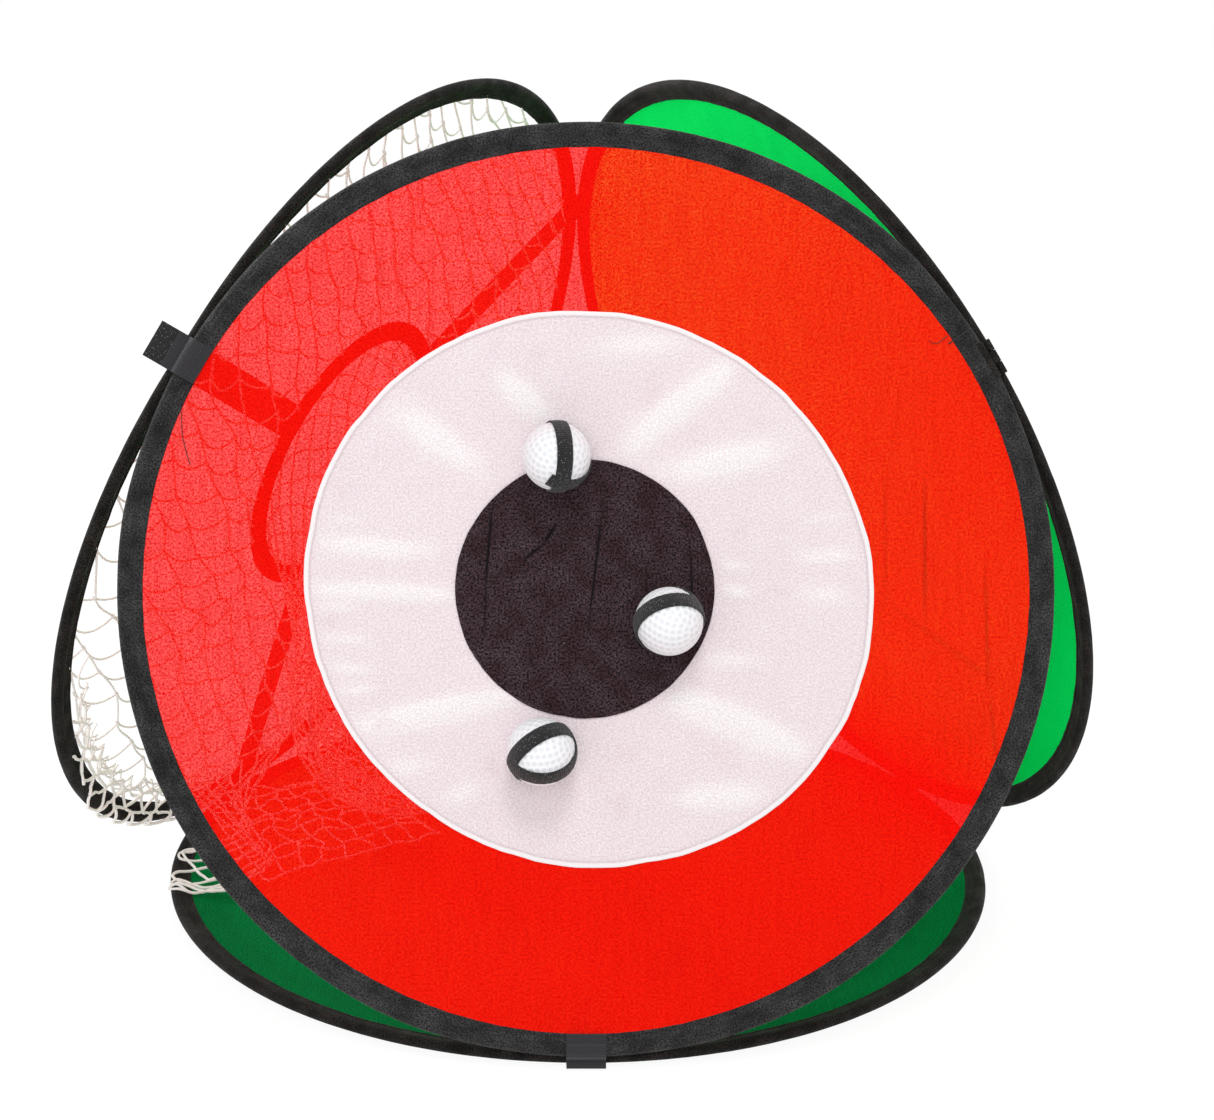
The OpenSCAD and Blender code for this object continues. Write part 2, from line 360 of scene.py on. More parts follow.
def spread(tree, value, from_min, from_max, to_min=0.0, to_max=1.0):
    node = add(
        tree,
        "MapRange",
        {"Value": value, "From Min": from_min, "From Max": from_max, "To Min": to_min, "To Max": to_max},
    )
    return node.outputs["Result"]


def blend_colour(tree, share, one, other, blend_type="MIX"):
    node = add(tree, "Mix", {0: share, 6: one, 7: other}, data_type="RGBA", blend_type=blend_type)
    return node.outputs[2]


def start_group(name, inputs, outputs):
    tree = bpy.data.node_groups.new(name, "ShaderNodeTree")
    for label, value in inputs.items():
        kind = "NodeSocketVector" if value is None else "NodeSocketFloat"
        socket = tree.interface.new_socket(label, in_out="INPUT", socket_type=kind)
        if value is not None:
            socket.default_value = value
    for label in outputs:
        tree.interface.new_socket(label, in_out="OUTPUT", socket_type="NodeSocketFloat")
    return tree, tree.nodes.new("NodeGroupInput").outputs, tree.nodes.new("NodeGroupOutput").inputs


def use_group(tree, group, **inputs):
    return add(tree, "Group", inputs, node_tree=group).outputs


def split(tree, vector):
    return add(tree, "SeparateXYZ", {0: vector}).outputs


def sine(tree, along, turns):
    """A sine along a length. turns is how fast it turns, in radians a metre."""
    return calc(tree, "SINE", calc(tree, "MULTIPLY", along, turns))


def weave_group():
    """Threads over and under each other. Height is the surface."""
    tree, given, out = start_group("cloth weave", {"Place": None, "Pitch": 0.0008, "Lean": 0.0}, ["Height"])
    parts = split(tree, given["Place"])
    leaned = calc(tree, "ADD", parts[0], calc(tree, "MULTIPLY", parts[1], given["Lean"]))
    turns = calc(tree, "DIVIDE", math.tau, given["Pitch"])
    both = calc(tree, "MULTIPLY", sine(tree, leaned, turns), sine(tree, parts[1], turns))
    tree.links.new(calc(tree, "MULTIPLY_ADD", both, 0.5, 0.5), out["Height"])
    return tree


def grain_group():
    """Uneven yarns: fine grain with streaks along V, and slow drift over the cloth."""
    tree, given, out = start_group(
        "yarn grain", {"Place": None, "Size": 0.0012, "Stretch": 3.0}, ["Grain", "Streaks", "Drift"]
    )
    scale = calc(tree, "DIVIDE", 1.0, given["Size"])
    fine = add(tree, "TexNoise", {"Vector": given["Place"], "Scale": scale, "Detail": 1.5, "Roughness": 0.5})
    parts = split(tree, given["Place"])
    drawn_out = calc(tree, "DIVIDE", parts[1], given["Stretch"])
    drawn = add(tree, "CombineXYZ", {0: parts[0], 1: drawn_out, 2: parts[2]}).outputs[0]
    wide = calc(tree, "MULTIPLY", scale, 0.35)
    long = add(tree, "TexNoise", {"Vector": drawn, "Scale": wide, "Detail": 4.0, "Roughness": 0.65})
    slow = add(tree, "TexNoise", {"Vector": given["Place"], "Scale": 14.0, "Detail": 2.0})
    tree.links.new(spread(tree, fine.outputs[0], 0.34, 0.66), out["Grain"])
    tree.links.new(spread(tree, long.outputs[0], 0.3, 0.7), out["Streaks"])
    tree.links.new(spread(tree, slow.outputs[0], 0.3, 0.7), out["Drift"])
    return tree


def crease_group():
    """One pressed line from A to B. Line is 1 on it and fades at its ends, Roof falls off both ways."""
    tree, given, out = start_group(
        "pressed crease", {"Place": None, "A": None, "B": None, "Width": 0.0015}, ["Line", "Roof"]
    )
    run = vector_calc(tree, "SUBTRACT", given["B"], given["A"])
    gone = vector_calc(tree, "SUBTRACT", given["Place"], given["A"])
    share = calc(
        tree, "DIVIDE",
        vector_calc(tree, "DOT_PRODUCT", gone, run, out="Value"),
        vector_calc(tree, "DOT_PRODUCT", run, run, out="Value"),
    )
    held = calc(tree, "MINIMUM", calc(tree, "MAXIMUM", share, 0.0), 1.0)
    nearest = add(tree, "VectorMath", {0: run, "Scale": held}, operation="SCALE").outputs[0]
    away = vector_calc(tree, "LENGTH", vector_calc(tree, "SUBTRACT", gone, nearest), out="Value")
    fade = spread(tree, calc(tree, "ABSOLUTE", calc(tree, "SUBTRACT", share, 0.5)), 0.2, 0.5, 1.0, 0.0)
    ratio = calc(tree, "DIVIDE", away, given["Width"])
    line = calc(tree, "POWER", 2.718, calc(tree, "MULTIPLY", calc(tree, "MULTIPLY", ratio, ratio), -1.0))
    roof = calc(tree, "DIVIDE", 1.0, calc(tree, "ADD", 1.0, calc(tree, "MULTIPLY", ratio, 0.5)))
    tree.links.new(calc(tree, "MULTIPLY", line, fade), out["Line"])
    tree.links.new(calc(tree, "MULTIPLY", roof, fade), out["Roof"])
    return tree


def specks_group():
    """Scattered lint and loose fibres: Spots is 1 on a speck."""
    tree, given, out = start_group(
        "lint specks", {"Place": None, "Spacing": 0.01, "Size": 0.08, "Share": 0.3}, ["Spots"]
    )
    scale = calc(tree, "DIVIDE", 1.0, given["Spacing"])
    cells = add(tree, "TexVoronoi", {"Vector": given["Place"], "Scale": scale}, feature="F1")
    core = calc(tree, "MULTIPLY", given["Size"], 0.6)
    near = spread(tree, cells.outputs["Distance"], core, given["Size"], 1.0, 0.0)
    chance = add(tree, "SeparateColor", {0: cells.outputs["Color"]}).outputs[0]
    kept = calc(tree, "LESS_THAN", chance, given["Share"])
    tree.links.new(calc(tree, "MULTIPLY", near, kept), out["Spots"])
    return tree


def ribs_group():
    """Ribs of a narrow woven tape, across its length, with the finer threads between them."""
    tree, given, out = start_group(
        "tape ribs", {"Place": None, "Pitch": 0.0016, "Slant": 0.0}, ["Height", "Threads"]
    )
    parts = split(tree, given["Place"])
    slanted = calc(tree, "ADD", parts[0], calc(tree, "MULTIPLY", parts[1], given["Slant"]))
    turns = calc(tree, "DIVIDE", math.tau, given["Pitch"])
    rib = sine(tree, slanted, turns)
    thread = sine(tree, parts[1], calc(tree, "MULTIPLY", turns, 1.9))
    tree.links.new(calc(tree, "MULTIPLY_ADD", rib, 0.5, 0.5), out["Height"])
    tree.links.new(calc(tree, "MULTIPLY_ADD", thread, 0.5, 0.5), out["Threads"])
    return tree


def twist_group():
    """Strands laid round each other in a cord. U runs along it in metres, V goes round it from 0 to 1."""
    tree, given, out = start_group("cord twist", {"Place": None, "Lay": 0.005, "Strands": 3.0}, ["Height"])
    parts = split(tree, given["Place"])
    along = calc(tree, "DIVIDE", parts[0], given["Lay"])
    turn = calc(tree, "ADD", along, calc(tree, "MULTIPLY", parts[1], given["Strands"]))
    strands = calc(tree, "ABSOLUTE", sine(tree, turn, math.tau))
    tree.links.new(calc(tree, "SUBTRACT", 1.0, strands), out["Height"])
    return tree


WEAVE, GRAIN, CREASE = weave_group(), grain_group(), crease_group()
SPECKS, RIBS, TWIST = specks_group(), ribs_group(), twist_group()

# ---------------------------------------------------------------- materials


def start_material(name, roughness, colour, sheen=0.0, gloss=0.3):
    material = bpy.data.materials.new(name)
    material.use_nodes = True
    tree = material.node_tree
    shader = tree.nodes["Principled BSDF"]
    shader.inputs["Base Color"].default_value = (*colour, 1)
    shader.inputs["Roughness"].default_value = roughness
    shader.inputs["Sheen Weight"].default_value = sheen
    shader.inputs["Sheen Roughness"].default_value = 0.5
    shader.inputs["Specular IOR Level"].default_value = gloss
    return material, tree, shader


def place_of(tree):
    return add(tree, "UVMap", uv_map="UVMap").outputs[0]


def raise_surface(tree, shader, height, distance, strength=1.0, under=None):
    inputs = {"Strength": strength, "Distance": distance, "Height": height}
    if under is not None:
        inputs["Normal"] = under
    normal = add(tree, "Bump", inputs).outputs[0]
    tree.links.new(normal, shader.inputs["Normal"])
    return normal


def mark(tree, name):
    """A number that a piece carries on its vertices."""
    return add(tree, "Attribute", attribute_name=name).outputs["Fac"]


def object_place(tree):
    return add(tree, "TexCoord").outputs["Object"]


def rgba(colour, factor=1.0):
    return (*(min(1.0, c * factor) for c in colour), 1)


def speckled(tree, tone, grain, low, high):
    """Multiplies a colour by low where its grain is 0 and by high where it is 1."""
    shade = blend_colour(tree, grain, (*low, 1), (*high, 1))
    return blend_colour(tree, 1.0, tone, shade, "MULTIPLY")


def creases(tree, place, lines):
    """All pressed lines of a cloth together: their painted shade, which darkens the cloth along them, and how
    high they stand.
    """
    crease_shade, high = 0.0, 0.0
    for start, end, width, weight in lines:
        made = use_group(tree, CREASE, Place=place, A=(*start, 0), B=(*end, 0), Width=width)
        crease_shade = calc(tree, "MULTIPLY_ADD", made["Line"], weight, crease_shade)
        high = calc(tree, "MULTIPLY_ADD", made["Roof"], weight, high)
    return crease_shade, high


def binding_material(name, colour, lint, gloss):
    material, tree, shader = start_material(name, 0.62, colour, gloss * 0.4, gloss)
    place = place_of(tree)
    ribs = use_group(tree, RIBS, Place=place, Pitch=0.0011, Slant=0.35)
    grain = use_group(tree, GRAIN, Place=place, Size=0.0011, Stretch=0.4)
    specks = use_group(tree, SPECKS, Place=place, Spacing=0.009, Size=0.05, Share=lint)
    worn = add(tree, "TexNoise", {"Vector": place, "Scale": 55.0, "Detail": 4.0, "Roughness": 0.6})
    worn = spread(tree, worn.outputs[0], 0.36, 0.66)
    tone = blend_colour(tree, worn, rgba(colour, 0.55), rgba(colour, 1.55))
    tone = speckled(tree, tone, grain["Grain"], (0.05, 0.05, 0.05), (2.7, 2.7, 2.7))
    tone = blend_colour(tree, calc(tree, "MULTIPLY", specks["Spots"], 0.6), tone, (0.25, 0.25, 0.26, 1))
    tree.links.new(tone, shader.inputs["Base Color"])
    tree.links.new(spread(tree, worn, 0, 1, 0.78, 0.56), shader.inputs["Roughness"])
    under = raise_surface(tree, shader, ribs["Height"], 0.00025, 0.5)
    raise_surface(tree, shader, grain["Grain"], 0.0004, 0.9, under)
    return material


# A see-through cloth has two walls, so the one at the back is left nearly open.
BACK_WALL = 0.2


def panel_material(name, colour, sheen, pitch, see_through, lines=(), drift=0.18, low=0.9, high=1.08):
    """Thin panel cloth. see_through is how much of what is behind it shows, through its front wall.
    low and high are how the grain shades the colour."""
    material, tree, shader = start_material(name, 0.8, colour, sheen, 0.03)
    place = place_of(tree)
    weave = use_group(tree, WEAVE, Place=place, Pitch=pitch)
    grain = use_group(tree, GRAIN, Place=place, Size=pitch * 1.4, Stretch=9.0)
    tone = blend_colour(tree, grain["Streaks"], rgba(colour, 1 - drift), rgba(colour, 1 + drift))
    tone = blend_colour(tree, calc(tree, "MULTIPLY", grain["Drift"], 0.5), tone, rgba(colour, 1 + drift))
    tone = speckled(tree, tone, grain["Grain"], (low, low * low, low * low), (high, high**8, high**8))
    height = calc(tree, "MULTIPLY_ADD", grain["Grain"], 0.8, calc(tree, "MULTIPLY", weave["Height"], 0.5))
    if lines:
        crease_shade, high = creases(tree, place, lines)
        # Painted shade darkens the cloth along its pressed creases.
        tone = blend_colour(tree, calc(tree, "MULTIPLY", crease_shade, 0.4, clamp=True), tone, rgba(colour, 0.35))
        tree.links.new(tone, shader.inputs["Base Color"])
        under = raise_surface(tree, shader, high, 0.0016, 0.7)
        raise_surface(tree, shader, height, 0.0003, 0.5, under)
    else:
        tree.links.new(tone, shader.inputs["Base Color"])
        raise_surface(tree, shader, height, 0.0003, 0.5)
    if see_through:
        open_yarns = calc(tree, "MULTIPLY", grain["Grain"], spread(tree, grain["Streaks"], 0, 1, 0.45, 1.0))
        holes = calc(tree, "MULTIPLY_ADD", open_yarns, see_through * 1.9, see_through * 0.25)
        holes = calc(tree, "MULTIPLY", holes, calc(tree, "SUBTRACT", 1.0, mark(tree, "slack")))
        solid = calc(tree, "SUBTRACT", 1.0, holes)
        walls = {0: mark(tree, "front"), 2: BACK_WALL, 3: solid}
        share = add(tree, "Mix", walls, data_type="FLOAT").outputs[0]
        tree.links.new(share, shader.inputs["Alpha"])
    return material


def white_material(name):
    """Pale cloth that turns pink where it lies on the red cloth below it."""
    colour = (0.86, 0.78, 0.80)
    material, tree, shader = start_material(name, 0.85, colour, 0.0, 0.05)
    place = place_of(tree)
    weave = use_group(tree, WEAVE, Place=place, Pitch=0.0011, Lean=0.5)
    grain = use_group(tree, GRAIN, Place=place, Size=0.0013, Stretch=3.0)
    tone = blend_colour(tree, mark(tree, "touch"), (0.91, 0.86, 0.87, 1), (0.82, 0.71, 0.74, 1))
    # Painted shade: the fold mark darkens the pale cloth in soft bands.
    tone = blend_colour(tree, mark(tree, "fold"), tone, (0.70, 0.53, 0.58, 1))
    tone = speckled(tree, tone, grain["Grain"], (0.88, 0.82, 0.84), (1.07, 1.10, 1.09))
    tone = blend_colour(tree, calc(tree, "MULTIPLY", grain["Streaks"], 0.14), tone, (0.95, 0.92, 0.92, 1))
    tone = blend_colour(tree, mark(tree, "hem"), tone, (0.93, 0.90, 0.91, 1))
    # The stitch mark draws the hem's stitches as a darker line, with painted shade where the cloth dips to
    # them.
    tone = blend_colour(tree, mark(tree, "stitch"), tone, (0.50, 0.38, 0.41, 1))
    tree.links.new(tone, shader.inputs["Base Color"])
    height = calc(tree, "MULTIPLY_ADD", grain["Grain"], 0.7, calc(tree, "MULTIPLY", weave["Height"], 0.6))
    raise_surface(tree, shader, height, 0.0003, 0.5)
    return material


def black_material(name, lines):
    colour = (0.030, 0.020, 0.023)
    material, tree, shader = start_material(name, 0.85, colour, 0.05, 0.10)
    place = place_of(tree)
    twill = use_group(tree, RIBS, Place=place, Pitch=0.0011, Slant=1.0)
    grain = use_group(tree, GRAIN, Place=place, Size=0.0013, Stretch=2.0)
    blotch = add(tree, "TexNoise", {"Vector": place, "Scale": 60.0, "Detail": 3.0})
    lint = use_group(tree, SPECKS, Place=place, Spacing=0.014, Size=0.05, Share=0.16)
    blotch = spread(tree, blotch.outputs[0], 0.36, 0.64)
    tone = blend_colour(tree, blotch, (0.020, 0.010, 0.012, 1), (0.032, 0.021, 0.025, 1))
    tone = speckled(tree, tone, grain["Grain"], (0.04, 0.03, 0.03), (2.8, 2.7, 2.7))
    crease_shade, high = creases(tree, place, lines)
    # Painted shade darkens the black cloth along its creases.
    tone = blend_colour(tree, calc(tree, "MULTIPLY", crease_shade, 1.2, clamp=True), tone, (0.005, 0.003, 0.004, 1))
    tone = blend_colour(tree, calc(tree, "MULTIPLY", lint["Spots"], 0.7), tone, (0.4, 0.35, 0.36, 1))
    tree.links.new(tone, shader.inputs["Base Color"])
    under = raise_surface(tree, shader, high, 0.0012, 0.6)
    height = calc(tree, "MULTIPLY_ADD", grain["Grain"], 0.6, twill["Height"])
    raise_surface(tree, shader, height, 0.0003, 0.5, under)
    return material


def cord_material(name, colour, lay):
    # A faint emission in the cord's own colour is a painted glow: it lights the cords up beyond the light
    # that falls on them.
    material, tree, shader = start_material(name, 0.7, colour, 0.5, 0.2)
    shader.inputs["Emission Strength"].default_value = 0.2
    place = place_of(tree)
    twist = use_group(tree, TWIST, Place=place, Lay=lay)
    drift = add(tree, "TexNoise", {"Vector": object_place(tree), "Scale": 40.0, "Detail": 3.0})
    twist_groove_shade = calc(tree, "POWER", twist["Height"], 3.0)
    # Painted shade: the cord's tone darkens in the grooves between its twisted strands.
    tone = blend_colour(tree, twist_groove_shade, rgba(colour), rgba(colour, 0.62))
    tone = blend_colour(tree, spread(tree, drift.outputs[0], 0.5, 0.8, 0.0, 0.3), tone, rgba(colour, 0.8))
    tree.links.new(tone, shader.inputs["Base Color"])
    tree.links.new(tone, shader.inputs["Emission Color"])
    raise_surface(tree, shader, calc(tree, "SUBTRACT", 1.0, twist_groove_shade), 0.0003, 0.4)
    return material


def tape_material(name, colour, pitch, slant=0.0, fuzz=0.0):
    material, tree, shader = start_material(name, 0.7, colour, 0.2)
    place = place_of(tree)
    ribs = use_group(tree, RIBS, Place=place, Pitch=pitch, Slant=slant)
    grain = use_group(tree, GRAIN, Place=place, Size=0.0009, Stretch=1.0)
    # Painted shade: the tape is darker between its ribs and lighter on their tops.
    tone = blend_colour(tree, ribs["Height"], rgba(colour, 0.55), rgba(colour, 1.6))
    tone = blend_colour(tree, calc(tree, "MULTIPLY", grain["Grain"], 0.5), tone, rgba(colour, 2.2))
    height = calc(tree, "MULTIPLY_ADD", ribs["Threads"], 0.3, ribs["Height"])
    if fuzz:
        hooks = use_group(tree, SPECKS, Place=place, Spacing=0.0011, Size=0.32, Share=fuzz)
        tone = blend_colour(tree, calc(tree, "MULTIPLY", hooks["Spots"], 0.8), tone, (0.33, 0.33, 0.35, 1))
        height = calc(tree, "MULTIPLY_ADD", grain["Grain"], 1.5, height)
        height = calc(tree, "MULTIPLY_ADD", hooks["Spots"], 1.5, height)
    tree.links.new(tone, shader.inputs["Base Color"])
    raise_surface(tree, shader, height, 0.0004, 0.8)
    return material


def steel_material(name, colour, roughness):
    """Rolled steel, seen only where the fabric opens: fine marks along it and a few dull stains."""
    material, tree, shader = start_material(name, roughness, colour)
    shader.inputs["Metallic"].default_value = 1.0
    marks = use_group(tree, GRAIN, Place=object_place(tree), Size=0.002, Stretch=1.0)
    tone = blend_colour(tree, marks["Drift"], rgba(colour, 0.8), rgba(colour, 1.1))
    tone = blend_colour(tree, calc(tree, "MULTIPLY", marks["Grain"], 0.3), tone, rgba(colour, 0.6))
    tree.links.new(tone, shader.inputs["Base Color"])
    dull = spread(tree, marks["Grain"], 0, 1, roughness * 0.8, roughness * 1.4)
    tree.links.new(dull, shader.inputs["Roughness"])
    raise_surface(tree, shader, marks["Grain"], 0.0002, 0.2)
    return material


def ball_material(name):
    colour = (0.92, 0.93, 0.95)
    material, tree, shader = start_material(name, 0.30, colour)
    shader.inputs["Specular IOR Level"].default_value = 0.5
    scuffs = add(
        tree, "TexNoise", {"Vector": object_place(tree), "Scale": 90.0, "Detail": 5.0, "Roughness": 0.7}
    ).outputs[0]
    tone = blend_colour(tree, spread(tree, scuffs, 0.6, 0.85, 0.0, 0.3), rgba(colour), (0.66, 0.67, 0.68, 1))
    # Painted shade: the dimples are darker and bluer than the rest of the plastic.
    tone = blend_colour(tree, calc(tree, "MULTIPLY", mark(tree, "dimple"), 0.42), tone, (0.56, 0.59, 0.66, 1))
    tree.links.new(tone, shader.inputs["Base Color"])
    tree.links.new(spread(tree, scuffs, 0.3, 0.7, 0.28, 0.45), shader.inputs["Roughness"])
    raise_surface(tree, shader, scuffs, 0.0001, 0.15)
    return material


def thread_material(name, colour):
    material, tree, shader = start_material(name, 0.55, colour, 0.1)
    fibres = use_group(tree, GRAIN, Place=object_place(tree), Size=0.0005, Stretch=1.0)
    tone = blend_colour(tree, fibres["Grain"], rgba(colour, 0.6), rgba(colour, 1.5))
    tree.links.new(tone, shader.inputs["Base Color"])
    raise_surface(tree, shader, fibres["Grain"], 0.0001, 0.6)
    return material


def crease_lines(*rows):
    """Pressed lines from X, Y to X, Y, each with its width in mm and its weight."""
    return [((a * mm, b * mm), (c * mm, d * mm), width * mm, weight) for a, b, c, d, width, weight in rows]


RED_LINES = crease_lines(
    (212, 80, 212.5, -28, 1.3, 0.9),
    (187, 84, 188, -14, 1.2, 0.4),
    (250, 26, 252.5, -68, 1.4, 0.7),
    (253.5, -62, 258, -112, 1.4, 0.6),
    (184, -4, 267, -64, 2.2, 0.35),
)
BLACK_LINES = crease_lines(
    (-58, 60, -63, -8, 0.9, 0.9),
    (-62, 4, -63, -33, 0.9, 0.6),
    (12, 60, 1, -33, 0.8, 0.9),
    (66, 36, 68, -34, 0.8, 0.8),
    (-17, 42, -27, 27, 1.0, 1.0),
    (-25, 29, -40, 17, 1.0, 0.9),
    (-37, -24, -32, -54, 0.9, 0.3),
    (38, 12, 40, -22, 0.9, 0.4),
)

BLACK_BINDING = binding_material("black binding fabric", (0.018, 0.018, 0.018), 0.10, 0.16)
# The same binding fabric made darker: painted shade for the hoops and joint tapes at the back.
SHADED_REAR_BINDING = binding_material("shaded rear binding fabric", (0.010, 0.0085, 0.0075), 0.06, 0.10)
RED_CLOTH = panel_material(
    "red loop cloth", (0.94, 0.003, 0.001), 0.0, 0.0010, 0.078, RED_LINES, 0.08, 0.80, 1.10
)
WHITE_CLOTH = white_material("pink-white loop cloth")
BLACK_CLOTH = black_material("black loop cloth", BLACK_LINES)
# The side and floor panels are of one green cloth: the side's is made brighter, as painted light, and the
# floor's much darker, as painted shade.
LIT_SIDE_GREEN = panel_material("bright green cloth", (0.0, 0.95, 0.14), 0.0, 0.0009, 0.0, (), 0.07, 0.9, 1.05)
SHADED_FLOOR_GREEN = panel_material("green cloth", (0.0, 0.165, 0.04), 0.0, 0.0009, 0.0, (), 0.15, 0.85, 1.06)
NET_CORD = cord_material("cream net cord", (0.97, 0.95, 0.90), 0.0055)
BAG_CORD = cord_material("fine net cord", (0.95, 0.92, 0.86), 0.0040)
WEBBING = tape_material("black webbing", (0.028, 0.028, 0.031), 0.0016)
LOOP_TAB = tape_material("ribbed black tab", (0.017, 0.017, 0.020), 0.0013)
HOOK_TAPE = tape_material("black hook tape", (0.0065, 0.0065, 0.0075), 0.0015, 0.0, 0.30)
STEEL = steel_material("spring steel", (0.62, 0.63, 0.65), 0.32)
CRIMP_STEEL = steel_material("pressed steel", (0.45, 0.45, 0.46), 0.45)
BALL_PLASTIC = ball_material("white ball plastic")
BLACK_THREAD = thread_material("black thread", (0.012, 0.012, 0.014))

# ---------------------------------------------------------------- hoops


BULGE = 20 * mm
BULGE_FROM_R = 110 * mm


def front_bulge(angle):
    """How far the net's hoop is pushed out of round where the bundled net hangs on it, -90 to 30 degrees."""
    share = (np.degrees(angle) + 90) % 360 / 120
    return np.where(share < 1, BULGE * np.sin(math.pi * np.clip(share, 0, 1)), 0)


def bulged(points):
    """Moves points of the net panel outwards with its hoop."""
    radius, angle = polar(points)
    share = np.clip((radius - BULGE_FROM_R) / (WIRE_R - BULGE_FROM_R), 0, 1.1) ** 1.5
    factor = 1 + front_bulge(angle) * share / np.maximum(radius, 1e-6)
    moved = points.copy()
    moved[:, 0] *= factor
    moved[:, 1] *= factor
    return moved


def ring_faces(piece, wire_r, sign, height):
    """Selects the faces on the ring's inner (-1) or outer (1) side, up to a height."""
    edit(piece, lambda c: sign * (math.hypot(c.x, c.y) - wire_r) > 0.3 * TUBE_R and abs(c.z) < height)


def pull_ring(from_r, to_r, from_h, to_h):
    bpy.ops.mesh.extrude_region_move()
    share = to_r / from_r
    bpy.ops.transform.resize(value=(share, share, to_h / from_h), center_override=(0, 0, 0))


STITCH_AT = 5.0 * mm
STITCH_PITCH = 3.2 * mm
FLANGE_W = 7 * mm
TUBE_SIDES = 20
SIDE_TURN = math.tau / TUBE_SIDES


def flange_lift(at, wire_r, sign, seed):
    """How far the puckers lift the flange, and the cloth sewn into it, which smooths out 12 mm past it."""
    radius, angle = polar(at)
    gone = sign * (radius - wire_r) - SKIN_R
    depth = np.clip(gone / FLANGE_W, 0, 1)
    fade = np.clip(1 - (gone - FLANGE_W) / (12 * mm), 0, 1)
    round_it = directions(angle)
    along = round_it * wire_r
    slanted = np.column_stack([along + round_it * (depth * 4 * mm)[:, None], np.zeros(len(at))])
    pucker = 0.75 * mm * noise(slanted, 5.5 * mm, seed) + 0.5 * mm * noise(along, 45 * mm, seed + 3)
    return depth * (1 - 0.5 * depth) * pucker * fade * fade


def hoop_fabric(name, wire_r, half_t, sign, seed, segments, loose=0.0):
    """A sewn fabric tube with its flange. sign is -1 for a flange inside the tube and 1 for one outside.
    loose is how far the tube's outer side stands off its wire between the corners."""
    deselect()
    bpy.ops.mesh.primitive_torus_add(
        major_segments=segments, minor_segments=TUBE_SIDES, major_radius=wire_r, minor_radius=SKIN_R
    )
    piece = take(name)
    ring_faces(piece, wire_r, sign, 0.62 * TUBE_R)
    edge = wire_r + sign * SKIN_R
    # From the tube the fabric slopes down to the line of stitches, and its hem stands up past it: how far
    # each step lies from the tube's edge, and how high.
    steps = [
        (0.3 * mm, 2.20 * mm),
        (1.3 * mm, 2.02 * mm),
        (2.6 * mm, 1.78 * mm),
        (3.8 * mm, half_t + 0.98 * mm),
        (4.5 * mm, half_t + 0.62 * mm),
        (STITCH_AT, half_t + 0.38 * mm),
        (5.6 * mm, half_t + 0.72 * mm),
        (6.3 * mm, half_t + 0.66 * mm),
        (6.9 * mm, half_t + 0.32 * mm),
    ]
    r, h = edge, SKIN_R * math.sin(2 * SIDE_TURN)
    for reach, to_h in steps:
        to_r = edge + sign * reach
        pull_ring(r, to_r, h, to_h)
        r, h = to_r, to_h
    done()
    # The slot that takes the panel's edge.
    edit(piece, lambda c: sign * (math.hypot(c.x, c.y) - r) > -0.2 * mm and abs(c.z) < 0.55 * h)
    pull_ring(r, r - sign * 6.6 * mm, h * math.sin(SIDE_TURN) / math.sin(2 * SIDE_TURN), half_t + 0.05 * mm)
    done()
    points = points_of(piece)
    radius, angle = polar(points)
    depth = np.clip(sign * (radius - edge) / FLANGE_W, 0, 1)
    round_it = directions(angle)
    along = round_it * wire_r
    lift = flange_lift(points, wire_r, sign, seed)
    tube = np.clip(1 - depth * 3, 0, 1)
    swell = 0.14 * mm * noise(np.column_stack([along, points[:, 2] * 2]), 9 * mm, seed + 5) * tube
    outwards = np.column_stack([round_it * ((radius - wire_r) / TUBE_R)[:, None], points[:, 2] / TUBE_R])
    points += outwards * (np.minimum(swell, 0.02 * mm) * tube)[:, None]
    points[:, 2] += lift
    scallop = 0.35 * mm * noise(along, 3.4 * mm, seed + 7) * np.clip(depth * 2 - 1, 0, 1)
    points[:, :2] += round_it * (sign * scallop)[:, None]
    if loose:
        from_corner = np.abs((np.degrees(angle) - 30 + 60) % 120 - 60)
        away = loose * np.clip((from_corner - 9) / 12, 0, 1) * (1 + 0.25 * noise(along, 60 * mm, seed + 9))
        outer = np.clip((radius - wire_r + TUBE_R) / (2 * TUBE_R), 0, 1)
        points[:, :2] += round_it * (away * outer)[:, None]
    move_points(piece, points)

    def ring_uv(at, middle):
        reach = polar(at)[0] - wire_r
        turned = np.arctan2(at[:, 2], -sign * reach) * TUBE_R
        flat = np.sign(at[:, 2] + 1e-9) * (2.4 * TUBE_R + sign * reach)
        across = np.where(sign * reach > 0.95 * TUBE_R, flat, turned)
        return np.column_stack([unrolled_angle(at, middle) * wire_r, across])

    lay_out(piece, ring_uv)
    return smooth(piece, 60)


def one_stitch(length, radius):
    """A single stitch: a short thread whose ends dive into the fabric."""
    deselect()
    bpy.ops.mesh.primitive_cylinder_add(
        vertices=6, radius=radius, depth=length * 0.62, rotation=(0, math.pi / 2, 0)
    )
    stitch = take("stitch")
    bpy.ops.object.transform_apply(location=False, rotation=True, scale=False)
    for side in (-1, 1):
        edit(stitch, lambda c: side * c.x > 0.3 * length)
        dive = (side * 0.19 * length, 0, -0.75 * radius)
        bpy.ops.mesh.extrude_region_move(TRANSFORM_OT_translate={"value": dive})
        end = (side * 0.5 * length, 0, -0.75 * radius)
        bpy.ops.transform.resize(value=(1, 0.6, 0.6), center_override=end)
        done()
    return stitch


def repeated(stitch, name, places):
    """One mesh of many copies of the same small piece, each at its own matrix. The first one is used up."""
    base = points_of(stitch)
    faces = [tuple(p.vertices) for p in stitch.data.polygons]
    points, polygons = [], []
    for count, place in enumerate(places):
        turned = np.array(place)
        points.append(base @ turned[:3, :3].T + turned[:3, 3])
        polygons += [tuple(v + count * len(base) for v in face) for face in faces]
    bpy.data.objects.remove(stitch)
    piece = new_piece(name, np.concatenate(points), polygons)
    lay_out(piece, flat_uv)
    return smooth(piece, 50)


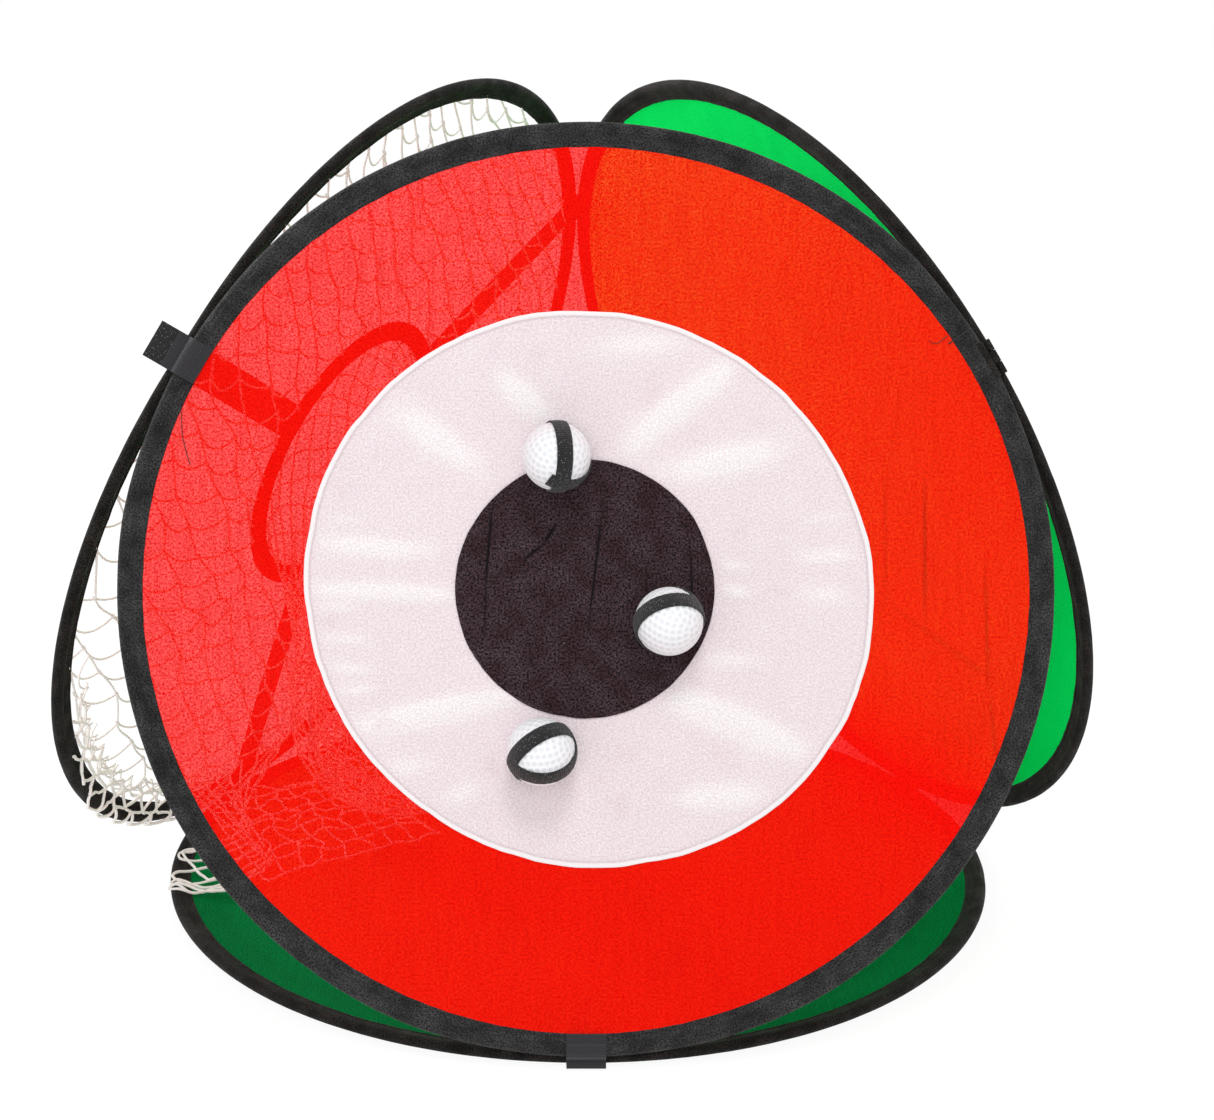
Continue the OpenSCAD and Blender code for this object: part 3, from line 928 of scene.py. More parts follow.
def ring_of_stitches(name, wire_r, sign, level, seed):
    """Stitches round a hoop on both faces, which lie on its flange and its puckers."""
    radius = wire_r + sign * SKIN_R + sign * STITCH_AT
    count = int(math.tau * radius / STITCH_PITCH)
    jitter = np.random.default_rng(seed)
    places = []
    for side in (1, -1):
        angles = np.arange(count) / count * math.tau + jitter.normal(0, 0.0006, count)
        at = np.column_stack([directions(angles) * radius, np.zeros(count)])
        at[:, 2] = side * level + flange_lift(at, wire_r, sign, seed)
        for angle, place in zip(angles, at):
            turn = Matrix.Rotation(angle + math.pi / 2 + jitter.normal(0, 0.06), 4, "Z")
            flip = Matrix.Rotation(0 if side > 0 else math.pi, 4, "X")
            places.append(Matrix.Translation(place.tolist()) @ turn @ flip)
    return repeated(one_stitch(STITCH_PITCH * 0.78, 0.30 * mm), name, places)


# Each hoop: its name, its panel, its wire's radius, the side its flange is on, half the thickness it holds,
# how loose its fabric is, its segments, its seed and its fabric.
HOOPS = [
    ("target", "target", WIRE_R, -1, 0.4 * mm, 1.7 * mm, 560, 11, BLACK_BINDING),
    ("side", "side", WIRE_R, -1, 0.4 * mm, 0.0, 560, 12, SHADED_REAR_BINDING),
    ("net", "net", WIRE_R, -1, 0.8 * mm, 0.0, 560, 13, SHADED_REAR_BINDING),
    ("floor", "floor", WIRE_R, -1, 0.4 * mm, 0.0, 560, 14, SHADED_REAR_BINDING),
    ("hole", "net", HOLE_WIRE_R, 1, 0.8 * mm, 0.0, 260, 15, SHADED_REAR_BINDING),
]
HOOP_SEED = {}
for name, panel, wire_r, sign, half, loose, segments, seed, material in HOOPS:
    HOOP_SEED[name] = seed
    fabric = hoop_fabric(name + "_hoop_fabric", wire_r, half, sign, seed, segments, loose)
    stitches = ring_of_stitches(name + "_hoop_stitches", wire_r, sign, half + 0.46 * mm, seed)
    if name == "net":
        for piece in (fabric, stitches):
            move_points(piece, bulged(points_of(piece)))
    finish_piece(fabric, PANEL[panel], panel + "_panel", material, [name + "_binding"])
    finish_piece(stitches, PANEL[panel], panel + "_panel", BLACK_THREAD)


def flat_wire(name, radius, thick, tall):
    """A flat steel band bent into a ring."""
    deselect()
    bpy.ops.mesh.primitive_cylinder_add(vertices=240, radius=radius, depth=tall, end_fill_type="NOTHING")
    band = take(name)
    modify(band, "SOLIDIFY", thickness=thick, offset=0.0, use_even_offset=True)
    soften(band, 0.2 * mm)
    return smooth(outward(band), 40)


net_band = flat_wire("net_hoop_wire", WIRE_R, 1.2 * mm, 4.5 * mm)
move_points(net_band, bulged(points_of(net_band)))
lay_out(net_band, flat_uv)
finish_piece(net_band, PANEL["net"], "net_panel", STEEL, ["net_wire"])

# These pieces keep the frame's own shapes and only get a material.
for hoop in ("target", "side", "floor", "hole"):
    coat(frame["nodes"][hoop + "_wire"], STEEL)
for hoop in ("target", "side", "floor", "hole", "net"):
    coat(frame["nodes"][hoop + "_crimp"], CRIMP_STEEL)

# ---------------------------------------------------------------- panel cloths


def cloth_disc(name, radius, rows, sides, hem=()):
    """A round of cloth: a circle whose edge is drawn inwards ring by ring. hem gives the first rings'
    widths."""
    deselect()
    bpy.ops.mesh.primitive_circle_add(vertices=sides, radius=radius, fill_type="NOTHING")
    piece = take(name)
    edit(piece, lambda c: True, "VERT")
    r = radius
    inner = radius - sum(hem)
    for step in [*hem] + [inner * 0.985 / rows] * rows:
        bpy.ops.mesh.extrude_edges_move()
        share = (r - step) / r
        bpy.ops.transform.resize(value=(share, share, share), center_override=(0, 0, 0))
        r -= step
    bpy.ops.mesh.edge_face_add()
    bpy.ops.mesh.select_all(action="SELECT")
    bpy.ops.mesh.normals_make_consistent(inside=False)
    done()
    return piece


def thicken(piece, thickness=CLOTH_T):
    return modify(piece, "SOLIDIFY", thickness=thickness, offset=0.0, use_even_offset=False)


def rim_puckers(points, seed, height):
    """Short waves that start past the binding, run in and die away."""
    r, angle = polar(points)
    near = bell((CLOTH_R - 12 * mm - r) / (26 * mm)) * np.clip((INNER_R - r) / (9 * mm), 0, 1)
    return height * near * noise(directions(angle) * CLOTH_R, 15 * mm, seed) * np.clip(r / (50 * mm), 0, 1)


def slack(points, seed, height):
    """Long shallow rolls in a stretched cloth, strongest between the middle and the rim."""
    r = polar(points)[0] / INNER_R
    return height * np.clip(1 - r**4, 0, 1) * noise(points[:, :2] * (1.0, 0.45), 95 * mm, seed, 3)


def red_height(points):
    """The red cloth's surface, with its one broad fold. The discs sewn on it follow it."""
    share, away = to_segment(points[:, :2], *RED_LINES[-1][:2])
    fold = 1.2 * mm * bell(away / (9 * mm)) * np.sin(math.pi * np.clip(share, 0, 1))
    flange = flange_lift(points, WIRE_R, -1, HOOP_SEED["target"])
    return slack(points, 21, 1.6 * mm) + rim_puckers(points, 22, 0.6 * mm) + fold + flange


def panel_cloth(name, rows, height):
    """A panel's whole round of cloth. height is how far it lifts off its plane."""
    cloth = cloth_disc(name, CLOTH_R, rows, 300)
    lay_out(cloth, flat_uv)
    points = points_of(cloth)
    points[:, 2] += height(points)
    move_points(cloth, points)
    return thicken(cloth)


red = panel_cloth("target_red_cloth", 84, red_height)
walls = np.zeros(len(red.data.vertices) * 3)
red.data.vertices.foreach_get("normal", walls)
note(red, "front", walls.reshape(-1, 3)[:, 2] > 0)
# At its lower right the cloth lets less of what is behind it show through.
from_gap = points_of(red)[:, :2] - np.array([205, -119]) * mm
along_gap = from_gap @ np.array([0.857, -0.515]) / (80 * mm)
across_gap = from_gap @ np.array([0.515, 0.857]) / (34 * mm)
note(red, "slack", 0.82 * np.exp(-(along_gap**4) - across_gap**2))
smooth(red)
finish_piece(red, PANEL["target"], "target_panel", RED_CLOTH, ["target_cloth"])

# The sewn discs' thickness, and how far their middles lie above their own level.
DISC_T = 0.55 * mm
DISC_CLEAR = 0.35 * mm

# Folds of the pale disc: from X, Y to X, Y, half width and height, all in mm.
WHITE_FOLDS = [
    (-170, 0, -86, -3, 5, 2.2),
    (-166, 29, -100, 24, 6, 1.6),
    (-169, -11, -144, -11, 3, 0.9),
    (-166, -30, -139, -32, 3, 0.9),
    (-162, -49, -136, -50, 3, 0.9),
    (-157, -64, -134, -62, 3, 0.9),
    (-163, 44, -141, 44, 2.5, 0.7),
    (-141, -86, -52, -68, 7, 2.6),
    (-53, 133, -26, 106, 7, 2.0),
    (-120, 112, -67, 76, 9, 1.5),
    (27, 92, 90, 141, 8, 2.2),
    (51, 73, 119, 89, 9, 1.6),
    (80, 17, 102, 14, 3, 0.9),
    (82, 1, 102, -2, 3.5, 1.2),
    (133, 20, 165, 23, 4.5, 1.2),
    (138, 44, 160, 47, 3, 0.7),
    (136, -2, 162, -3, 5, 0.8),
    (51, -67, 131, -99, 9, 2.6),
    (56, -131, 109, -129, 7, 1.6),
    (68, -43, 112, -44, 5, 0.9),
    (3, 151, 61, 158, 8, 1.0),
    (-88, -132, -67, -123, 6, 0.9),
    (-132, -116, -96, -108, 6, 0.8),
]


def white_folds(points):
    """Soft ridges where the pale disc stands off the cloth below it."""
    at = points[:, :2] / mm
    height = np.zeros(len(points))
    for ax, ay, bx, by, width, high in WHITE_FOLDS:
        share, away = to_segment(at, (ax, ay), (bx, by))
        bent = away + 0.12 * width * noise(points, 17 * mm, 34)
        height += high * mm * bell(bent / width) * (0.35 + 0.65 * np.sin(math.pi * np.clip(share, 0, 1)))
    return height


def wavy_edge(points, flat_r, radius, depth, size, seed):
    """Moves a disc's outline in and out a little, and its inside less and less towards the middle."""
    middle_safe = np.maximum(flat_r, 1e-4)
    waves = depth * noise(points[:, :2] / middle_safe[:, None] * radius, size, seed, 3)
    points[:, :2] *= (1 + waves * (flat_r / radius) ** 3 / middle_safe)[:, None]


def hem_lift(from_edge, height, up, down_at, down):
    """A hem's height: up from the edge, then down again to the line of stitches."""
    return height * np.clip(from_edge / up, 0, 1) * np.clip((down_at - from_edge) / down, 0, 1)


WHITE_R = 176.5 * mm
WHITE_OVAL = (180.7 / 176.5, 172.8 / 176.5)
WHITE_STITCH_AT = 3.2 * mm
white_hem = (0.5 * mm, 0.9 * mm, 1.1 * mm, 0.5 * mm, 0.5 * mm, 1.2 * mm)
white = cloth_disc("target_white_cloth", WHITE_R, 52, 300, white_hem)
points = points_of(white)
flat_r = polar(points)[0]
tilt = math.radians(-29)
turn = np.array([[math.cos(tilt), -math.sin(tilt)], [math.sin(tilt), math.cos(tilt)]])
points[:, :2] = (points[:, :2] @ turn) * WHITE_OVAL @ turn.T + (1.4 * mm, 0.9 * mm)
wavy_edge(points, flat_r, WHITE_R, 1.5 * mm, 26 * mm, 31)
lay_out(white, flat_uv)
folds = white_folds(points)
ripple = 0.30 * mm * noise(points[:, :2], 26 * mm, 32, 3)
loose = np.clip((0.1735 - flat_r) / (6 * mm), 0, 1) * np.clip((flat_r - 0.080) / (6 * mm), 0, 1)
rise = (folds + np.abs(ripple)) * loose
from_edge = WHITE_R - flat_r
hem = hem_lift(from_edge, 0.40 * mm, 0.5 * mm, WHITE_STITCH_AT, 0.6 * mm)
points[:, 2] = red_height(points) + WHITE_LEVEL + DISC_CLEAR + rise + hem
move_points(white, points)
note(white, "touch", np.clip(1 - rise / (1.1 * mm), 0, 1) * 0.85)
# The fold mark is painted shade: soft darker bands laid out by noise.
fold_shade_noise = noise(points[:, :2], 14 * mm, 33, 2)
note(white, "fold", np.clip(fold_shade_noise - 0.35, 0, 1) * 0.5 * loose)
note(white, "hem", np.clip((2.9 * mm - from_edge) / (0.6 * mm), 0, 1) * 0.9)
# The stitch mark: the hem's stitches as a darker line, with painted shade where the cloth dips to them.
note(white, "stitch", bell((from_edge - WHITE_STITCH_AT) / (0.45 * mm)) * 0.5)
thicken(white, DISC_T)
smooth(white)
finish_piece(white, PANEL["target"], "target_panel", WHITE_CLOTH, ["target_white_disc"])

BLACK_R = 81 * mm
black = cloth_disc("target_black_cloth", BLACK_R, 40, 240, (0.4 * mm, 0.8 * mm, 0.5 * mm, 0.5 * mm))
points = points_of(black)
flat_r = polar(points)[0]
wavy_edge(points, flat_r, BLACK_R, 0.8 * mm, 20 * mm, 41)
points[:, :2] += (-1.6 * mm, 0.9 * mm)
lay_out(black, flat_uv)
hem = hem_lift(BLACK_R - flat_r, 0.35 * mm, 0.4 * mm, 1.7 * mm, 0.5 * mm)
ripple = 0.30 * mm * np.abs(noise(points[:, :2], 18 * mm, 42, 3))
points[:, 2] = red_height(points) + BLACK_LEVEL + DISC_CLEAR + hem + ripple
move_points(black, points)
thicken(black, DISC_T)
smooth(black)
finish_piece(black, PANEL["target"], "target_panel", BLACK_CLOTH, ["target_black_disc"])


def side_height(points):
    flange = flange_lift(points, WIRE_R, -1, HOOP_SEED["side"])
    return slack(points, 51, 3.0 * mm) + rim_puckers(points, 52, 1.2 * mm) + flange


def floor_height(points):
    """The floor's cloth sags from its binding on to the ground; its panel's Z points down."""
    lowest = GROUND_GAP - 0.45 * mm
    share = np.clip((INNER_R - 2 * mm - polar(points)[0]) / (26 * mm), 0, 1)
    drop = lowest * share * share * (3 - 2 * share)
    ripples = 2.2 * mm * np.abs(noise(points[:, :2], 60 * mm, 61, 3)) + rim_puckers(points, 62, 0.9 * mm)
    flange = flange_lift(points, WIRE_R, -1, HOOP_SEED["floor"]) * (1 - share)
    return np.minimum(drop - ripples * share + flange, lowest)


green = panel_cloth("side_green_cloth", 70, side_height)
smooth(green)
finish_piece(green, PANEL["side"], "side_panel", LIT_SIDE_GREEN, ["side_cloth"])

green = panel_cloth("floor_green_cloth", 70, floor_height)
smooth(green)
finish_piece(green, PANEL["floor"], "floor_panel", SHADED_FLOOR_GREEN, ["floor_cloth"])

# ---------------------------------------------------------------- netting and catch bag


def cords(name, runs, radius, uneven=0.0, seed=0, sides=6):
    """Thin round cords along lists of points, as one mesh, closed at both ends."""
    points, faces, places = [], [], []
    first = 0
    for count, run in enumerate(runs):
        run = np.asarray(run, float)
        if len(run) < 2:
            continue
        way = np.gradient(run, axis=0)
        way /= np.maximum(np.linalg.norm(way, axis=1), 1e-9)[:, None]
        side = np.cross(way, (0.13, 0.31, 0.94))
        side /= np.maximum(np.linalg.norm(side, axis=1), 1e-9)[:, None]
        up = np.cross(way, side)
        thick = radius * (1 + uneven * noise(run, 7 * mm, seed + count % 7))
        turn = np.arange(sides) / sides * math.tau
        ring = (
            run[:, None, :]
            + side[:, None, :] * (np.cos(turn) * thick[:, None])[:, :, None]
            + up[:, None, :] * (np.sin(turn) * thick[:, None])[:, :, None]
        )
        points.append(ring.reshape(-1, 3))
        gone = np.concatenate([[0], np.cumsum(np.linalg.norm(np.diff(run, axis=0), axis=1))])
        n = len(run)
        row = np.arange(n - 1)[:, None] * sides + first
        a = row + np.arange(sides)
        b = row + (np.arange(sides) + 1) % sides
        quads = np.stack([a, b, b + sides, a + sides], axis=-1).reshape(-1, 4)
        faces += quads.tolist()
        u0 = np.repeat(gone[:-1], sides)
        u1 = np.repeat(gone[1:], sides)
        v0 = np.tile(np.arange(sides) / sides, n - 1)
        v1 = v0 + 1 / sides
        places.append(np.stack([u0, v0, u0, v1, u1, v1, u1, v0], axis=-1).reshape(-1, 2))
        faces.append(list(range(first + sides - 1, first - 1, -1)))
        faces.append(list(range(first + (n - 1) * sides, first + n * sides)))
        places.append(np.zeros((2 * sides, 2)))
        first += n * sides
    piece = new_piece(name, np.concatenate(points), faces)
    layer = piece.data.uv_layers.new(name="UVMap")
    layer.data.foreach_set("uv", np.concatenate(places).astype(np.float32).ravel())
    return smooth(piece, 70)


def rounded_run(knots, per_step=4):
    """A smooth line through the knots of a strand, held straight for a moment at each of them."""
    knots = np.asarray(knots, float)
    if len(knots) < 2:
        return knots
    out = [knots[0]]
    for i in range(len(knots) - 1):
        a, b = knots[i], knots[i + 1]
        before = knots[i - 1] if i else a
        after = knots[i + 2] if i + 2 < len(knots) else b
        for k in range(1, per_step + 1):
            t = k / per_step
            s = (b - before) * 0.38
            e = (after - a) * 0.38
            from_a, from_b = 2 * t**3 - 3 * t**2 + 1, -2 * t**3 + 3 * t**2
            from_s, from_e = t**3 - 2 * t**2 + t, t**3 - t**2
            out.append(a * from_a + b * from_b + s * from_s + e * from_e)
    return np.array(out)


# The netting runs from the hole's hoop to the rim, and its ends are held inside both bindings.
NET_FROM_R, NET_TO_R = 99 * mm, 281 * mm


def net_sag(at):
    """How the netting hangs: inwards between the hole's hoop and the rim, and uneven."""
    share = np.clip((polar(at)[0] - NET_FROM_R) / (NET_TO_R - NET_FROM_R), 0, 1)
    hang = np.sin(math.pi * share)
    return -5 * mm * hang + 3.0 * mm * hang * noise(at, 60 * mm, 71)


# The netting's cells hang as slanted squares: one knot, the step along a strand, and the step to the next.
NET_KNOT = np.array([133, -32]) * mm
STRAND_STEP = np.array([-20, -27]) * mm
LINK_STEP = np.array([-37, -10]) * mm
NET_LINKS = np.arange(-26, 27)
NET_STEPS = np.arange(-24, 25)


def net_knots(links, steps):
    """Where knots hang: links cells across and steps cells down from the first, drawn closer near the top."""
    at = NET_KNOT + np.outer(links, LINK_STEP) + np.outer(steps, STRAND_STEP)
    close = 1 - 0.38 * np.clip((at[:, 1] - 110 * mm) / (180 * mm), 0, 1)
    at[:, 0] = 60 * mm + (at[:, 0] - 60 * mm) * close
    slow = np.column_stack([noise(at, 70 * mm, 72) * 12 * mm, noise(at, 60 * mm, 73) * 10 * mm])
    return at + slow + shake(at, 17 * mm, 74, 1) * 5 * mm


def net_strand(link):
    """One strand that runs down the panel through every knot of its row."""
    knots = net_knots(np.full(len(NET_STEPS), link), NET_STEPS)
    per_cell = 6
    line = rounded_run(knots, per_cell)
    count = np.arange(len(line))
    sway = np.sin(math.pi * (count % per_cell) / per_cell) * np.where(count // per_cell % 2, 1, -1)
    line[:, 0] += sway * 2.6 * mm * noise(line, 40 * mm, 77 + link % 5, 1)
    return line


def net_link(link, step, sag):
    """The short cord that hangs from one strand to the next."""
    ends = net_knots(np.array([link, link + 1]), np.array([step, step]))
    share = np.linspace(0, 1, 9)[:, None]
    line = ends[0] + (ends[1] - ends[0]) * share
    line[:, 1] -= sag * (4 * share * (1 - share))[:, 0]
    return line


def clip_runs(line, inside):
    """The parts of a line for which inside is true."""
    kept = inside(line)
    runs, current = [], []
    for point, keep in zip(line, kept):
        if keep:
            current.append(point)
        elif current:
            runs.append(np.array(current))
            current = []
    if current:
        runs.append(np.array(current))
    return [run for run in runs if len(run) > 2]


def in_annulus(line):
    r = polar(line)[0]
    return (r > NET_FROM_R + 0.7 * mm) & (r < NET_TO_R + 2.5 * mm)


net_lines = []
knot_places = []
sags = np.random.default_rng(76)
for link in NET_LINKS:
    net_lines.append((net_strand(link), 0.5 * mm * (1 if link % 2 else -1)))
    for step in NET_STEPS:
        net_lines.append((net_link(link, step, sags.uniform(3, 11) * mm), 0.0))
        knot_places.append(net_knots(np.array([link]), np.array([step]))[0])
net_runs = []
for line, off in net_lines:
    for run in clip_runs(line, in_annulus):
        net_runs.append(bulged(np.column_stack([run, net_sag(run) + off])))
net = cords("net_mesh", net_runs, 0.80 * mm, 0.15, 5)
finish_piece(net, PANEL["net"], "net_panel", NET_CORD, ["net_face"])

knot_runs = []
along_knot = np.linspace(-1.7, 1.7, 5)[:, None] * mm * (STRAND_STEP / np.linalg.norm(STRAND_STEP))
knot_turn = np.sin(np.linspace(0, math.tau, 5))[:, None] * 0.4 * mm
for at in knot_places:
    if in_annulus(at[None, :])[0]:
        turned = at + along_knot + knot_turn
        knot_runs.append(bulged(np.column_stack([turned, net_sag(turned)])))
knots = cords("net_knots", knot_runs, 1.35 * mm, 0.25, 4)
finish_piece(knots, PANEL["net"], "net_panel", NET_CORD)


BUNCH_R = 280 * mm


def rim_bunch():
    """The surplus of the net, gathered along the front of the rim in loose curls."""
    runs = []
    chance = np.random.default_rng(83)
    for strand in range(4):
        start, end = chance.uniform(-80, -60), chance.uniform(-32, -14)
        angles = np.radians(np.arange(start, end, 0.4))
        gone = angles * BUNCH_R
        track = np.column_stack([gone, gone * 0])
        curl = chance.uniform(0, 9) + gone / (chance.uniform(30, 46) * mm) * math.tau
        curl += 1.2 * noise(track, 35 * mm, 90 + strand)
        reach = 4.5 * mm * (1 + 0.4 * noise(track, 40 * mm, 84 + strand))
        r = chance.uniform(264, 271) * mm + reach * np.cos(curl) + 3 * mm * noise(track, 45 * mm, 87 + strand)
        turned = angles + reach * np.sin(curl) / BUNCH_R
        lift = -1.5 * mm + 3.0 * mm * noise(track, 24 * mm, 97 + strand)
        runs.append(np.column_stack([directions(turned) * r[:, None], lift]))
    return runs


FRINGE_FROM_R = 268 * mm
FRINGE_SCALE = 5 * mm


def over_rim(angle, gone):
    """A point on the rim's binding, gone metres past FRINGE_FROM_R: on the flange, the tube or outside."""
    clear = TUBE_R + 1.9 * mm
    flat = WIRE_R - TUBE_R - FRINGE_FROM_R
    if gone < flat:
        r, z = FRINGE_FROM_R + gone, -(2.3 * mm + 2.2 * mm * (gone / flat) ** 2)
    else:
        turn = math.radians(145) - (gone - flat) / clear
        r, z = WIRE_R + clear * math.cos(turn), -clear * math.sin(turn)
    return (math.cos(angle) * r, math.sin(angle) * r, z)


def fringe():
    """A web of loose net cells that wraps the rim's binding, deepest at the foot of the panel. Its paths are
    drawn with FRINGE_SCALE metres a degree, so that their curves are even."""
    runs = []
    step, row = 5.0, 8.2 * mm
    for strand, start in enumerate(np.arange(-84, -24, step / 2)):
        knots = []
        rows = 5 if start < -42 else 4 if start < -33 else 3
        for k in range(rows):
            hand = 1 if (strand + k) % 2 else -1
            column = round((start + hand * step / 4) / step * 2) / 2
            knot = np.array([[column * 3.1, k * 10.0]])
            angle = start + hand * step * 0.24 + noise(knot, 3.1, 92, 1)[0] * 2.4
            knots.append((angle, max(0.0, (k - 0.4) * row + noise(knot, 4.3, 93, 1)[0] * 5.0 * mm)))
        path = rounded_run(np.array(knots) * (FRINGE_SCALE, 1), 7)
        path += 1.6 * mm * shake(path, 9 * mm, 98 + strand, 1) * (1, 0.5)
        runs.append(np.array([over_rim(math.radians(a / FRINGE_SCALE), max(0.0, gone)) for a, gone in path]))
    return runs


# Surplus net that slips out under the lower rim: where each cord crosses the floor's binding, in mm from the
# middle of the floor. It leaves the heap inside and goes back to it.
FLOOR_LOOPS = [
    [(-226, -18), (-246, -44), (-256, -48), (-266, -54), (-275, -54), (-284, -48), (-290, -42),
     (-285, -38), (-274, -42), (-266, -47), (-256, -44), (-240, -30), (-222, 6)],
    [(-230, 0), (-250, -30), (-262, -36), (-270, -41), (-279, -43), (-289, -34), (-286, -27),
     (-278, -21), (-270, -16), (-252, -8), (-232, 22)],
    [(-236, 20), (-252, -20), (-262, -36), (-269, -29), (-278, -12), (-287, 4), (-285, 12),
     (-276, 16), (-258, 22), (-240, 40)],
    [(-240, 30), (-262, 4), (-276, -2), (-287, -4), (-289, 6), (-281, 14), (-264, 28), (-246, 52)],
    [(-232, -26), (-248, -52), (-262, -53), (-272, -57), (-282, -55), (-290, -48), (-284, -45),
     (-271, -50), (-258, -54), (-240, -44), (-228, -10)],
]


def floor_loops():
    """Cords that cross the floor's binding, turn round its outside and go back."""
    runs = []
    clear = TUBE_R + 1.2 * mm
    for count, crossings in enumerate(FLOOR_LOOPS):
        lying = []
        for x, y in crossings:
            r = math.hypot(x, y) * mm
            from_wire = abs(r - WIRE_R) / clear
            over = GROUND_GAP + clear * math.sqrt(max(0.0, 1 - min(1.0, from_wire) ** 2))
            flat = GROUND_GAP + 2.6 * mm if r < WIRE_R else GROUND_GAP
            lying.append(np.array([x * mm, y * mm, max(over, flat) + 0.5 * mm * (count % 3)]))
        line = rounded_run(lying, 8)
        line[:, :2] += 1.0 * mm * shake(line, 8 * mm, 94 + count, 1)
        runs.append(line)
    return runs


# The heap of surplus net inside, beside the foot of the net panel: its four corners on the floor, in mm.
HEAP = np.array([(-281, 108), (-228, -34), (-104, 50), (-160, 172)]) * mm


def heap_point(along, across):
    """A point of the crumpled heap. Cords of both ways share its folds, so that they meet in knots."""
    a, b = along[:, None], across[:, None]
    near = HEAP[0] * (1 - b) + HEAP[1] * b
    far = HEAP[3] * (1 - b) + HEAP[2] * b
    at = near * (1 - a) + far * a
    at = at + 9 * mm * shake(at, 26 * mm, 101)
    at = at + 3.5 * mm * shake(at, 11 * mm, 103, 1)
    edge = np.minimum(np.minimum(along, 1 - along), np.minimum(across, 1 - across))
    height = 5.5 * mm + (4 * mm + 9 * mm * np.abs(noise(at, 30 * mm, 105))) * np.clip(edge * 6, 0.1, 1)
    rim = np.clip((polar(at)[0] - 250 * mm) / (20 * mm), 0, 1)
    return np.column_stack([at, np.maximum(height, (GROUND_GAP + TUBE_R + 1.5 * mm) * rim)])


def net_heap():
    """The heap's cords, and those that hang down to it from the foot of the net panel."""
    runs = []
    for way in range(2):
        for place in np.linspace(0.01, 0.99, 9):
            run = np.linspace(0.01, 0.99, 90)
            held = np.full(len(run), place)
            line = heap_point(run, held) if way else heap_point(held, run)
            line[:, 2] += 1.1 * mm * (1 if way else -0.2)
            runs.append(line)
    first, last = -116, -60
    for angle in range(first, last, 5):
        turn = math.radians(angle)
        foot = Vector((math.cos(turn) * 266 * mm, math.sin(turn) * 266 * mm, -3.5 * mm))
        foot = np.array(PANEL["net"] @ foot)
        land = heap_point(np.array([0.10]), np.array([(angle - first) / (last - first) * 0.9 + 0.02]))[0]
        share = np.linspace(0, 1, 12)[:, None]
        line = foot + (land - foot) * share
        middle = np.sin(math.pi * share)
        line[:, :2] += 2.5 * mm * middle * shake(line, 12 * mm, 106, 1)
        line[:, 2] += (4 * mm * middle)[:, 0]
        runs.append(line)
    return runs


bunch = cords("net_rim_bunch", [bulged(run) for run in rim_bunch()], 0.7 * mm, 0.2, 6)
finish_piece(bunch, PANEL["net"], "net_panel", NET_CORD)
web = cords("net_rim_web", [bulged(run) for run in fringe()], 1.15 * mm, 0.2, 7)
finish_piece(web, PANEL["net"], "net_panel", NET_CORD)
slipped = cords("net_floor_loops", floor_loops(), 1.0 * mm, 0.2, 9)
finish_piece(slipped, Matrix.Identity(4), "net_panel", NET_CORD)
heap = cords("net_heap", net_heap(), 0.85 * mm, 0.15, 10)
finish_piece(heap, Matrix.Identity(4), "net_panel", NET_CORD)

# Catch bag: a sack of finer netting between the hole's hoop and a belly close to the ground. Its points are
# (distance from the middle of the floor, height) in the net panel's own upright plane.
MOUTH = np.array([FACE_R - FACE_R / 3, GROUND_GAP + FACE_R * math.sin(LEAN)])
BELLY = np.array([150.2 * mm, 110 * mm])
UP_FACE = np.array([-1 / 3, math.sin(LEAN)])
BELLY_AT = 0.62


def bag_point(around, down):
    """A point of the bag: around from 0 to 1 round its mouth, down from 0 at the mouth to 1 at its bottom."""
    waist = np.clip(down / BELLY_AT, 0, 1)
    below = np.clip((down - BELLY_AT) / (1 - BELLY_AT), 0, 1)
    eased = waist * waist * (3 - 2 * waist)
    middle = MOUTH[None, :] + (BELLY - MOUTH)[None, :] * eased[:, None]
    turn = LEAN * eased
    # The ring's cross direction in the radial plane turns from up the panel to level, pointing inwards.
    c, s = np.cos(turn), np.sin(turn)
    rise_dir = np.column_stack([UP_FACE[0] * c - UP_FACE[1] * s, UP_FACE[1] * c + UP_FACE[0] * s])
    radius = (93 - 17 * np.sin(math.pi * waist) - 1.0 * waist) * mm
    radius = radius * np.where(below > 0, np.sqrt(np.clip(1 - (below * 0.985) ** 2, 0, 1)), 1)
    sink = 91 * mm * below
    angle = around * math.tau
    radial, height = (middle + rise_dir * (radius * np.cos(angle))[:, None]).T
    side = radius * np.sin(angle)
    cos_az, sin_az = directions([math.radians(NET_AZIMUTH)])[0]
    return np.column_stack(
        [radial * cos_az - side * sin_az, radial * sin_az + side * cos_az, height - sink]
    )


def bag_runs(strands, rows, seed, drawn_in, top):
    """Crumpled netting of the bag. drawn_in pulls a layer towards its middle, top is where it starts."""
    runs = []
    k = np.arange(rows + 1)
    down = top + k / rows * (0.992 - top)
    hang = np.sin(math.pi * np.clip(down, 0, 1)) ** 0.5
    radial = MOUTH[0] + (BELLY[0] - MOUTH[0]) * np.clip(down / BELLY_AT, 0, 1)
    axis = radial[:, None] * directions([math.radians(NET_AZIMUTH)])
    for strand in range(strands):
        hand = np.where((strand + k) % 2 == 0, 1, -1)
        joint = (strand + hand * 0.5) / strands * math.tau
        track = np.column_stack([directions(joint), down * 2.2]) * 95 * mm
        fold = noise(track, 30 * mm, seed, 2)
        shift = noise(track, 17 * mm, seed + 1, 2)
        drop = noise(track, 19 * mm, seed + 2, 2)
        around = (strand + hand * 0.47) / strands + shift * 0.014
        points = bag_point(around, np.clip(down + drop * 0.035 * hang, 0.004, 0.992))
        points[:, :2] += (points[:, :2] - axis) * (hang * (0.10 * (fold - 0.75) - drawn_in))[:, None]
        points[:, 2] = np.maximum(points[:, 2], 19 * mm)
        runs.append(rounded_run(points, 4))
    return runs


